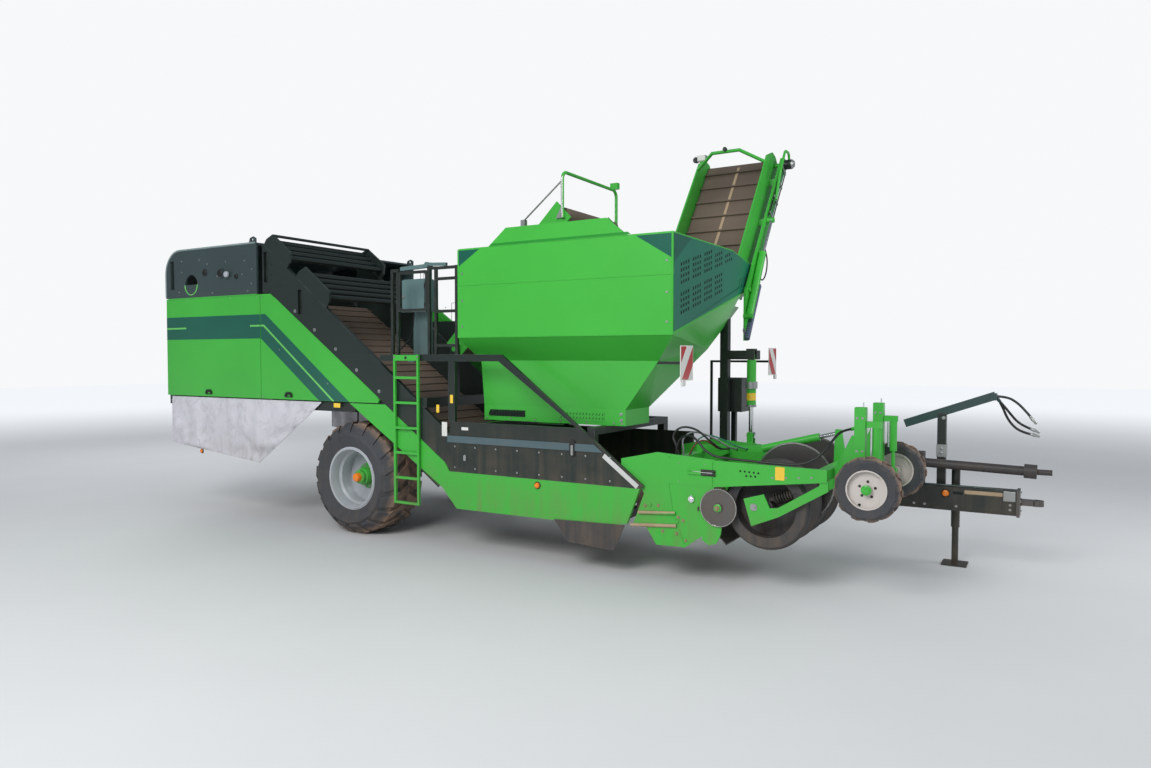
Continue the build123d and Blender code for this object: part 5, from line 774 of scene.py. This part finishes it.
# A darker green film strip is painted shadow along the lower edge of the set-back upper board
board_shadow_paint = worn_finish("board_shadow_film", (32, 140, 42), gloss=0.3, coat=0.2, soil=LIGHT_SOIL, wear=0.15)
side_sheet("board_shadow_strip", [(2.27, 3.594), (4.09, 3.594), (4.055, 3.622), (2.31, 3.622)], FILM, board_shadow_paint)

# Base flange: vent slots in two rows over a sheet of painted shade, bolts along it and the clips at its front corner
BASE_OUT, VENT_PITCH = 1.25, 0.042
for number, (x0, x1) in enumerate(((1.97, 2.52), (2.98, 3.58))):
    vents = [[(x0 + 0.02 + i * VENT_PITCH + u, 1.62 + row * 0.045 + v)
              for u, v in ((0, 0), (0.011, 0), (0.026, 0.024), (0.015, 0.024))]
             for row in (0, 1) for i in range(int((x1 - x0) / VENT_PITCH))]
    side_sheet(f"base_vent_{number}", rounded(x0, x1, 1.6, 1.71, 0.01), 0.003, green_paint, out=BASE_OUT + 0.0015,
               holes=vents)
    side_sheet(f"base_vent_shade_{number}", rounded(x0 + 0.01, x1 - 0.01, 1.61, 1.7, 0.01), 0.0012, shadow_paint,
               out=BASE_OUT)
side_bolts("base_bolts", [(x, 1.585) for x in (1.95, 2.3, 2.65, 3.0, 3.35, 3.7, 3.8)], 0.011, out=BASE_OUT + 0.001)
side_bolts("base_corner_clips", ((3.79, 1.62), (3.79, 1.69)), 0.018, out=BASE_OUT + 0.001)

# ---------------- belts and rollers
# Webs and belts are ribbed rubber with steel cross bars, browned by soil. Rollers and flaps are smooth rubber.
# Shares, discs, the lift rod, the small rims, the boards and the arm get their own steel, chrome and paint.
belt_rubber = worn_finish("belt_rubber", (104, 90, 78), gloss=0.8, coat=0.0, change=0.25, soil=(0.0, 5.2, 0.45),
                          wear=0.4, bump=0.1)
finish_nodes(belt_rubber, "web_belts", "bunker_floor", "discharge_belt", "digger_web")
roller_rubber = worn_finish("roller_rubber", (56, 57, 60), gloss=0.6, coat=0.0, change=0.2,
                            soil=(0.0, 2.6, 0.4), bump=0.08)
finish_nodes(roller_rubber, "rear_separator", "diabolo_right", "diabolo_left", "ground_flap")
bare_steel = worn_finish("bare_steel", (112, 108, 106), gloss=0.34, coat=0.0, metallic=0.85, soil=(0.3, 1.3, 0.5))
finish_nodes(bare_steel, "shares", "side_disc", "coulter_right", "coulter_left", "hitch_eye")
chrome = worn_finish("chrome_rod", (225, 226, 228), gloss=0.12, coat=0.0, metallic=1.0,
                     soil=(0.3, 1.0, 0.15), wear=0.0)
finish_nodes(chrome, "lift_rod")
rim_cream = worn_finish("rim_cream", (206, 198, 192), gloss=0.4, soil=(0.6, 1.5, 0.3), wear=0.4, edge=0.003)
finish_nodes(rim_cream, "gauge_rim_right", "gauge_rim_left")
finish_nodes(worn_finish("board_paint", (230, 226, 220), gloss=0.3, soil=(1.6, 2.2, 0.2)), "warning_boards")
arm_paint = worn_finish("hose_arm_paint", (45, 70, 68), soil=(0.6, 1.4, 0.4))
finish_nodes(arm_paint, "hose_arm")
finish_nodes(worn_finish("shaft_guard", (58, 54, 54), gloss=0.5, coat=0.0, soil=(0.5, 1.4, 0.4)), "pto_drive")

# ---------------- digger
# Two welded side plates with long beams to the front tube. Chromed guide rods, worn wear tubes, pivot bolts and
# the bolt pattern for other disc positions show on its right wall; rubber hoses loop over the rear bar.


def from_axle(place):
    """A point's place forward of the axle, left of the centre plane and above the ground."""
    return place.x - AXLE_X, place.y - CENTRE_Y, place.z


def paint_faces(node, material, *boxes, measure=from_axle):
    """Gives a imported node's faces a second finish where their middles lie in one of the boxes."""
    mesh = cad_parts[node].data
    mesh.materials.append(material)
    for face in mesh.polygons:
        middle = measure(face.center)
        if any(all(low <= value <= high for value, (low, high) in zip(middle, box)) for box in boxes):
            face.material_index = len(mesh.materials) - 1


WALL = 1.575
worn_tan = worn_finish("worn_steel_tan", (176, 152, 122), gloss=0.5, coat=0.0, soil=(0.2, 1.5, 0.4),
                       wear=0.3)
brass = worn_finish("worn_nut", (168, 146, 112), gloss=0.45, coat=0.0, metallic=0.5,
                    soil=(0.0, 1.2, 0.5))
paint_faces("digger_frame", chrome, ((4.82, 4.91), (-1.6, -1.5755), (1.13, 1.21)),
            ((5.88, 5.96), (-0.81, -0.75), (1.49, 1.56)), ((4.75, 4.77), (-1.6, -1.5765), (0.84, 0.94)))
paint_faces("digger_frame", worn_tan, ((4.3, 4.45), (-1.62, -1.5755), (0.69, 0.74)),
            ((4.25, 4.43), (-1.62, -1.5755), (0.55, 0.61)))
paint_faces("digger_frame", black_plastic, ((4.83, 4.85), (-1.6, -1.5765), (0.77, 0.83)))
for number, z in enumerate((1.15, 1.185)):
    round_bar(f"guide_sleeve_{number}", [at(x, -WALL - 0.008, z) for x in (4.865, 5.015)], 0.028, black_plastic,
              "digger")
side_bolts("pivot_bolt", [(4.76, 0.89)], 0.03, out=WALL + 0.0105, body="digger", material=chrome)
side_bolts("wall_bolts", ((4.244, 0.775), (4.395, 0.79), (4.617, 0.69), (4.672, 0.66), (4.443, 0.53), (4.6, 0.52),
                          (4.7, 0.46)), 0.016, out=WALL + 0.0005, body="digger", material=brass)
side_bolts("beam_bolts", ((5.59, 1.168), (5.72, 1.178), (5.84, 1.186), (5.96, 1.196), (4.62, 1.25), (4.9, 1.25),
                          (4.62, 1.06)), 0.01, out=WALL + 0.0005, body="digger")
# Open holes of the bolt pattern, each drawn as a flat disc of painted shade
for number, (x, z) in enumerate([(5.27 + 0.045 * i, 1.21 - 0.002 * i) for i in range(5)] +
                                [(5.33 + 0.045 * i, 1.166) for i in range(3)]):
    turned(f"disc_hole_{number}", [(0.0105, 0.0), (0.0105, 0.0008), (0.0, 0.0008)], at(x, -WALL, z), RIGHT_SIDE,
           shadow_paint, "digger", 14)
side_sheet("beam_plate", rounded(5.615, 5.705, 1.15, 1.275, 0.008), LABEL, yellow_film, body="digger", out=WALL)
for number, line in enumerate((((4.512, 1.31), (4.515, 1.0), (4.56, 0.72), (4.69, 0.42)),
                               ((4.985, 1.285), (4.985, 1.04)))):
    round_bar(f"wall_seam_{number}", [at(x, -WALL - 0.001, z) for x, z in line], 0.007, green_paint, "digger")
# Side disc: hub with its nut, and the bright cutting edge that the soil keeps clean
edge_steel = worn_finish("bright_edge", (186, 184, 180), gloss=0.25, coat=0.0, metallic=0.9,
                         soil=(0.0, 1.0, 0.2))
turned("side_disc_hub", [(0.042, 0.0), (0.04, 0.018), (0.03, 0.022), (0.03, 0.03), (0.0, 0.03)],
       at(5.05, -1.594, 0.83), RIGHT_SIDE, green_paint, "side_disc", 24)
side_bolts("side_disc_nut", [(5.05, 0.83)], 0.022, out=1.624, body="side_disc", material=brass)
for body, x, z, radius, face, wide in (("side_disc", 5.05, 0.83, 0.1885, -1.594, 0.005),
                                       ("coulter_right", 5.6, 1.035, 0.4085, -0.8745, 0.022),
                                       ("coulter_left", 5.6, 1.035, 0.4085, -0.1345, 0.022)):
    turned(body + "_edge", [(radius, -0.0045), (radius + 0.001, 0.0), (radius - wide / 2, 0.0008),
                            (radius - wide, 0.0004), (radius - wide - 0.001, -0.0001)],
           at(x, face, z), RIGHT_SIDE, edge_steel, body, 96)
# Diabolo roller: pressed ring ridges, the arm's bearing bolt and the black coil spring behind the arm
for row, body in ((-1.245, "diabolo_right"), (-0.495, "diabolo_left")):
    for number, (radius, face) in enumerate(((0.417, 0.205), (0.335, 0.03), (0.335, -0.03), (0.417, -0.205))):
        ridge = [at(5.5 + radius * cos(2 * pi * i / 64), row + face, 0.865 + radius * sin(2 * pi * i / 64))
                 for i in range(64)]
        round_bar(f"{body}_ridge_{number}", ridge, 0.016, roller_rubber, body, closed=True)
side_bolts("arm_bearing_bolt", [(5.403, 0.866)], 0.034, out=1.5655, body="digger")
SPRING_FROM, SPRING_TO = at(5.585, -1.484, 0.95), at(5.765, -1.484, 1.01)
SPRING_TURNS, TURN_STEPS, SPRING_RADIUS = 7, 12, 0.05
axis, across = (SPRING_TO - SPRING_FROM).normalized(), Vector((0, 1, 0))
coil = []
for i in range(SPRING_TURNS * TURN_STEPS + 1):
    angle = 2 * pi * i / TURN_STEPS
    coil.append(SPRING_FROM.lerp(SPRING_TO, i / (SPRING_TURNS * TURN_STEPS))
                + SPRING_RADIUS * (across * cos(angle) + axis.cross(across) * sin(angle)))
round_bar("arm_spring", coil, 0.018, black_plastic, "digger")
round_bar("arm_spring_rod", [SPRING_FROM - 0.05 * axis, SPRING_TO + 0.05 * axis], 0.045, black_plastic, "digger")

# ---------------- gauge wheels and their towers
# Cream disc rims, each with five nuts round a green hub cap. Depth is set by a chromed cylinder at each tower,
# read from a pointer pin on its top.
for (name, side), y in zip(SIDES, (-1.584, -0.036)):
    body = "gauge_" + name
    turned("gauge_hub_" + name, [(0.046, 0.044), (0.0465, 0.052), (0.04, 0.056), (0.03, 0.058), (0.028, 0.066),
                                 (0.0, 0.068)], at(6.46, y, 1.13), FACING[side], green_paint, body, 28)
    bolt_heads("gauge_nuts_" + name, [at(6.46 + 0.072 * cos(a), y, 1.13 + 0.072 * sin(a)) for a in
                                      [2 * pi * (i + 0.2) / 5 for i in range(5)]], 0.012, body, black_plastic,
               (0, side, 0))
    # The rim's valve hole is a flat disc of painted shade
    turned("gauge_valve_hole_" + name, [(0.014, 0.0008), (0.0, 0.0008)], at(6.393, y, 0.986), FACING[side],
           shadow_paint, body, 16)
paint_faces("gauge_frame", chrome, ((6.44, 6.51), (-1.28, -1.22), (1.24, 1.3)),
            ((6.44, 6.51), (-0.4, -0.34), (1.24, 1.3)), ((6.33, 6.36), (-1.25, -1.21), (1.851, 1.9)),
            ((6.33, 6.36), (-0.37, -0.33), (1.851, 1.9)))
for number, y in enumerate((-1.25, -0.37)):
    side_bolts(f"tower_bolts_{number}", [(x, z) for x in (6.305, 6.355) for z in (1.75, 1.44)], 0.011,
               out=0.0505 - y, body="digger")
    round_bar(f"tower_guide_{number}", [at(6.43, y - 0.02, z) for z in (1.4, 1.665)], 0.024, chrome, "digger")

# ---------------- unloading elevator
# A folding elevator: a ribbed belt with a pale joint strip between green side plates, and a chromed ram, its pipes
# and a cable chain along the outer arm. Places on it are given as run along it and rise out of it.
LEAN, FOOT_Y, FOOT_Z = radians(53), 0.52, 3.15


def on_elevator(x, run, rise):
    """A point of the elevator, x forward of the axle."""
    return at(x, FOOT_Y + cos(LEAN) * run - sin(LEAN) * rise, FOOT_Z + sin(LEAN) * run + cos(LEAN) * rise)


def elevator_place(place):
    """The same measures of a given point."""
    y, z = place.y - CENTRE_Y - FOOT_Y, place.z - FOOT_Z
    return place.x - AXLE_X, cos(LEAN) * y + sin(LEAN) * z, cos(LEAN) * z - sin(LEAN) * y


hose_rubber = worn_finish("hose_rubber", (30, 31, 33), gloss=0.42, coat=0.0, change=0.1,
                          soil=(0.2, 1.6, 0.25), wear=0.2, edge=0.002, bump=0.05)
chain_grey = worn_finish("chain_plastic", (92, 104, 132), gloss=0.5, coat=0.0, soil=(1.0, 5.0, 0.2),
                         wear=0.2)
ALONG = (0, cos(LEAN), sin(LEAN))
ON_ARM = (ALONG, (0, -sin(LEAN), cos(LEAN)))
plate("belt_joint", oblong(0.1, 2.2, 0.018, -0.018), 0.003, on_elevator(4.04, 0, 0.0752), (ALONG, (-1, 0, 0)),
      worn_tan, "elevator")
paint_faces("discharge_frame", chrome, ((4.64, 4.71), (0.75, 1.05), (-0.04, 0.04)), measure=elevator_place)
paint_faces("discharge_frame", frame_paint, ((4.632, 4.77), (2.15, 2.31), (-0.07, 0.07)), measure=elevator_place)
turned("belt_motor_cap", [(0.062, 0.001), (0.06, 0.012), (0.046, 0.018), (0.044, 0.03), (0.0, 0.032)],
       on_elevator(4.76, 2.23, 0), FRONT_SIDE, zinc, "elevator", 28)
for number, (x, rise, material) in enumerate(((4.648, 0.052, hose_rubber), (4.664, 0.072, hose_rubber),
                                              (4.652, -0.048, cabinet_paint), (4.668, -0.068, hose_rubber))):
    pipe = [on_elevator(x, run, rise + 0.006 * sin(7 * run + number)) for run in (1.22, 1.42, 1.62, 1.82, 2.02, 2.17)]
    round_bar(f"arm_pipe_{number}", pipe, 0.016, material, "elevator", smooth=True)
for number, run in enumerate((1.25, 1.55, 1.85, 2.12)):
    plate(f"pipe_clamp_{number}", rounded(-0.016, 0.016, -0.085, 0.09, 0.006), 0.014, on_elevator(4.664, run, 0),
          ON_ARM, zinc, "elevator", 0.002)
LINKS, LINK_PITCH = 24, 0.034
for number in range(LINKS):
    plate(f"chain_link_{number}", rounded(-0.0155, 0.0155, -0.028, 0.028, 0.006), 0.06,
          on_elevator(4.625, -0.56 + number * LINK_PITCH, -0.252 + 0.0026 * number), ON_ARM, chain_grey, "elevator",
          0.005)
for number, (run, rise) in enumerate(((0.14, -0.198), (-0.5, -0.247))):
    plate(f"chain_hanger_{number}", rounded(-0.03, 0.03, -0.02, 0.1, 0.006), 0.006, on_elevator(4.62, run, rise),
          ON_ARM, zinc, "elevator", 0.001)
bolt_heads("elevator_plate_bolts", [on_elevator(4.5305, run, 0.13) for run in (0.15, 0.6, 1.05, 1.5, 1.95)], 0.012,
           "elevator", facing=(1, 0, 0))
# Work lamp and round horn at the head of the rear plate, and the level eye on the arch
LAMP_Y, LAMP_Z = 1.658, 5.109
paint_faces("discharge_frame", zinc, ((3.485, 3.615), (LAMP_Y - 0.046, LAMP_Y + 0.046),
                                      (LAMP_Z - 0.041, LAMP_Z + 0.041)))
side_sheet("elevator_lamp", rounded(3.498, 3.602, LAMP_Z - 0.034, LAMP_Z + 0.034, 0.012), 0.008, white_film,
           body="elevator", out=0.045 - LAMP_Y, edge=0.003)
ROUND_CASE = ((0.0, -0.06), (0.034, -0.054), (0.042, -0.01), (0.042, 0.006), (0.034, 0.012), (0.0, 0.008))
for name, place, part, sides in (("elevator_horn", at(3.462, LAMP_Y - 0.03, 5.095), 1, 28),
                                 ("arch_eye", on_elevator(4.04, 1.97, 0.605), 0.7, 24)):
    turned(name, [(r * part, h * part) for r, h in ROUND_CASE], place, RIGHT_SIDE, black_plastic, "elevator", sides)

# ---------------- fill conveyor, ram and warning boards
# The filling belt is brown ribbed rubber between green cheeks, under a bright strut and a hoop with its sensor.
# The lift ram carries a bright clamp and blank labels, and striped boards warn of the machine's width.
paint_faces("fill_conveyor", belt_rubber, ((1.0, 3.05), (-0.931, 0.291), (2.2, 4.3)))
paint_faces("fill_conveyor", zinc, ((2.28, 2.88), (-1.02, -0.975), (3.9, 4.45)),
            ((2.14, 2.44), (-1.16, -1.0), (3.7, 3.9)))
paint_faces("fill_conveyor", green_paint, ((2.7, 3.05), (-0.93, 0.29), (4.3, 4.6)))
barrel_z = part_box("lift_barrel")[0].z
for number, (rise, tall, radius, material) in enumerate(((0.22, 0.085, 0.072, zinc), (0.08, 0.09, 0.0562, yellow_film),
                                                         (0.0, 0.03, 0.06, zinc))):
    turned(f"ram_band_{number}", [(0.0548, 0.0), (radius, 0.001), (radius, tall - 0.001), (0.0548, tall)],
           at(4.75, 0.28, barrel_z + rise), FROM_ABOVE, material, "lift_barrel", 32)
paint_faces("warning_boards", frame_paint, ((3.0, 4.635), (-2.0, 2.0), (0.0, 4.0)))
STRIPE, STRIPE_LEAN, STRIPE_THICK = 0.16, 0.3, 0.0008
for (name, side), y0, y1 in zip(SIDES, (-1.6, 1.28), (-1.28, 1.6)):
    z0, z1 = 2.08, 2.44
    left, right, low, high = y0 + 0.01, y1 - 0.01, z0 + 0.01, z1 - 0.01
    plate("board_film_" + name, oblong(left, right, low, high), 0.001, at(4.646, 0, 0), FRONT_SIDE, white_film)
    for number in range(2):
        # Each stripe falls outwards, cut off by the board's edges
        form = bmesh.new()
        start = y0 - STRIPE_LEAN + number * 2 * STRIPE
        form.faces.new([form.verts.new((y if side < 0 else y0 + y1 - y, z, 0)) for y, z in (
            (start, z0), (start + STRIPE, z0), (start + STRIPE + STRIPE_LEAN, z1), (start + STRIPE_LEAN, z1))])
        for place, away in (((left, 0, 0), (-1, 0, 0)), ((right, 0, 0), (1, 0, 0)), ((0, low, 0), (0, -1, 0)),
                            ((0, high, 0), (0, 1, 0))):
            trimmed(form, place, away)
        bmesh.ops.solidify(form, geom=list(form.faces), thickness=STRIPE_THICK)
        bmesh.ops.recalc_face_normals(form, faces=form.faces)
        put(f"board_stripe_{name}_{number}", stood(made(form, "stripe"), at(4.648, 0, 0), *FRONT_SIDE), red_film)
    foot = y0 + (0.02 if side < 0 else 0.22)
    plate("board_clip_" + name, rounded(foot, foot + 0.08, z0 - 0.055, z0 + 0.012, 0.01), 0.02, at(4.64, 0, 0),
          FRONT_SIDE, white_film, edge=0.004)

# ---------------- drawbar and hose arm
# A heavy box beam with a bolted hitch flange, a marker lamp, a worn rail where the swing ram slides and a pipe
# along its top edge. The hose post is clamped in a bright sleeve with two cross holes.
BAR_FACE = 0.54
paint_faces("hose_arm", frame_paint, ((6.7, 6.9), (0.6, 0.9), (0.6, 1.19)), ((6.7, 6.9), (0.6, 0.9), (1.345, 1.7)))
paint_faces("hose_arm", zinc, ((6.74, 6.86), (0.6, 0.9), (1.195, 1.342)))
side_bolts("post_bolt", [(6.82, 1.64)], 0.018, out=-0.7345, body="drawbar")
side_lamp("bar_marker", at(6.872, BAR_FACE, 0.827), -1, 0.036, "drawbar")
# The slot in the beam is a flat patch of painted shade
for name, extent, deep, edge, material in (("worn_rail", (7.06, 7.43, 0.835, 0.875), 0.01, 0.003, worn_tan),
                                           ("bar_slot", (6.945, 7.045, 0.822, 0.852), 0.0012, 0.0, shadow_paint),
                                           ("bar_cover", (7.07, 7.42, 0.665, 0.832), 0.008, 0.003, frame_paint),
                                           ("bar_plate", (7.435, 7.55, 0.79, 0.895), 0.014, 0.003, zinc)):
    side_sheet(name, rounded(*extent, 0.007), deep, material, body="drawbar", out=-BAR_FACE, edge=edge)
round_bar("bar_pipe", [at(x, BAR_FACE + 0.02, z) for x, z in ((6.46, 0.912), (6.9, 0.912), (7.3, 0.91), (7.42, 0.902))],
          0.02, arm_paint, "drawbar")
bolt_heads("flange_bolts", [at(7.5905, 0.63 + side * 0.098, z) for side in (-1, 1) for z in (0.67, 0.73, 0.8, 0.87)],
           0.016, "drawbar", facing=(1, 0, 0))
side_bolts("bar_bolts", ((6.55, 0.86), (6.55, 0.69), (7.5, 0.7), (7.5, 0.75), (6.66, 0.69), (6.98, 0.69)), 0.013,
           out=0.0005 - BAR_FACE, body="drawbar")

# ---------------- hoses
# Rubber hydraulic hoses: three hang from the plate on the hose arm and end in the tractor's quick couplings, and
# one lies along the right beam, from the digger's rear bar up to the gauge tower.


def hose(name, route, width, body, material=hose_rubber):
    """A hose through its route's points, given in metres from the axle."""
    return put(name, round_line(name, [at(*place) for place in route], width, True, False, 4, 10), material, body)


# Quick coupling: a crimped ferrule, a hexagon and the pull-back sleeve with its open nose
COUPLING = [(0.0, -0.002), (0.0165, -0.002), (0.0172, 0.004), (0.016, 0.008), (0.0172, 0.012), (0.016, 0.016),
            (0.0172, 0.02), (0.0172, 0.026), (0.0195, 0.028), (0.0195, 0.042), (0.018, 0.044), (0.018, 0.05),
            (0.015, 0.052), (0.015, 0.092), (0.0138, 0.094), (0.0085, 0.094), (0.0085, 0.08), (0.0, 0.08)]
for node, length, route in (
        ("hose_upper", 0.405, ((7.352, 0.73, 1.895), (7.45, 0.728, 1.89), (7.54, 0.705, 1.835), (7.61, 0.672, 1.765),
                               (7.67, 0.65, 1.69))),
        ("hose_middle", 0.418, ((7.375, 0.782, 1.835), (7.425, 0.783, 1.775), (7.48, 0.79, 1.7), (7.535, 0.8, 1.63),
                                (7.6, 0.808, 1.58), (7.67, 0.806, 1.55))),
        ("hose_lower", 0.494, ((7.362, 0.832, 1.842), (7.4, 0.834, 1.77), (7.436, 0.845, 1.668), (7.495, 0.86, 1.575),
                               (7.575, 0.872, 1.51), (7.665, 0.876, 1.487)))):
    piece = hose(node + "_line", route, 0.026, "drawbar")
    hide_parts(node)
    tip = at(*route[-1])
    out = (tip - at(*route[-2])).normalized()
    level = out.cross(Vector((0, 0, 1))).normalized()
    coupling = turned(node + "_coupling", COUPLING, tip, (level, out.cross(level)), zinc, "drawbar", 24)
    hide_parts("hose_couplings")
BEAM_ROUTE = ((4.53, -1.44, 1.28), (4.53, -1.44, 1.39), (4.585, -1.452, 1.49), (4.7, -1.49, 1.535),
              (4.805, -1.528, 1.48), (4.88, -1.548, 1.395), (4.99, -1.552, 1.332), (5.18, -1.55, 1.318),
              (5.42, -1.553, 1.31), (5.65, -1.549, 1.303), (5.85, -1.552, 1.306), (5.985, -1.53, 1.365),
              (6.07, -1.47, 1.465), (6.12, -1.39, 1.56), (6.165, -1.3, 1.625), (6.24, -1.25, 1.64))
beam_line = hose("beam_hose_line", BEAM_ROUTE, 0.024, "digger")
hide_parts("beam_hose")
# Loops of hose from the rear bar's fittings to the press ram, long enough for the digger to rise
grey_hose = worn_finish("grey_hose", (120, 124, 126), gloss=0.5, coat=0.0, soil=(0.2, 1.6, 0.3), wear=0.0)
rust_hose = worn_finish("rust_sleeve", (120, 62, 40), gloss=0.6, coat=0.0, soil=(0.2, 1.6, 0.3), wear=0.0)
for name, diameter, material, length, route in (
        ("bar_loop_black", 0.022, hose_rubber, 1.13,
         ((4.53, -1.37, 1.28), (4.505, -1.37, 1.39), (4.44, -1.35, 1.5), (4.53, -1.32, 1.6), (4.69, -1.28, 1.575),
          (4.8, -1.22, 1.46), (4.86, -1.1, 1.37), (4.87, -0.95, 1.335), (4.87, -0.811, 1.334))),
        ("bar_loop_grey", 0.018, grey_hose, 0.93,
         ((4.55, -1.29, 1.28), (4.55, -1.29, 1.36), (4.52, -1.27, 1.45), (4.6, -1.24, 1.54), (4.74, -1.18, 1.52),
          (4.88, -1.08, 1.43), (4.96, -0.96, 1.345), (4.965, -0.811, 1.338))),
        ("bar_loop_rust", 0.016, rust_hose, 0.55,
         ((4.56, -1.16, 1.28), (4.6, -1.15, 1.39), (4.69, -1.1, 1.45), (4.76, -1.0, 1.39), (4.77, -0.9, 1.335),
          (4.77, -0.811, 1.33))),
        ("bar_loop_teal", 0.016, teal_paint, 0.75,
         ((4.54, -1.08, 1.28), (4.58, -1.06, 1.42), (4.7, -1.0, 1.5), (4.85, -0.93, 1.44), (5.05, -0.9, 1.35),
          (5.08, -0.811, 1.342)))):
    loop = hose(name, route, diameter, "digger", material)
# The slack hose under the elevator's arm
ARM_LOOP = ((0.85, -0.14), (0.85, -0.22), (0.8, -0.36), (0.62, -0.42), (0.45, -0.36), (0.42, -0.24), (0.42, -0.147))
arm_route = [tuple(on_elevator(4.615, run, rise) - at(0, 0, 0)) for run, rise in ARM_LOOP]
arm_loop = hose("arm_loop", arm_route, 0.018, "elevator")
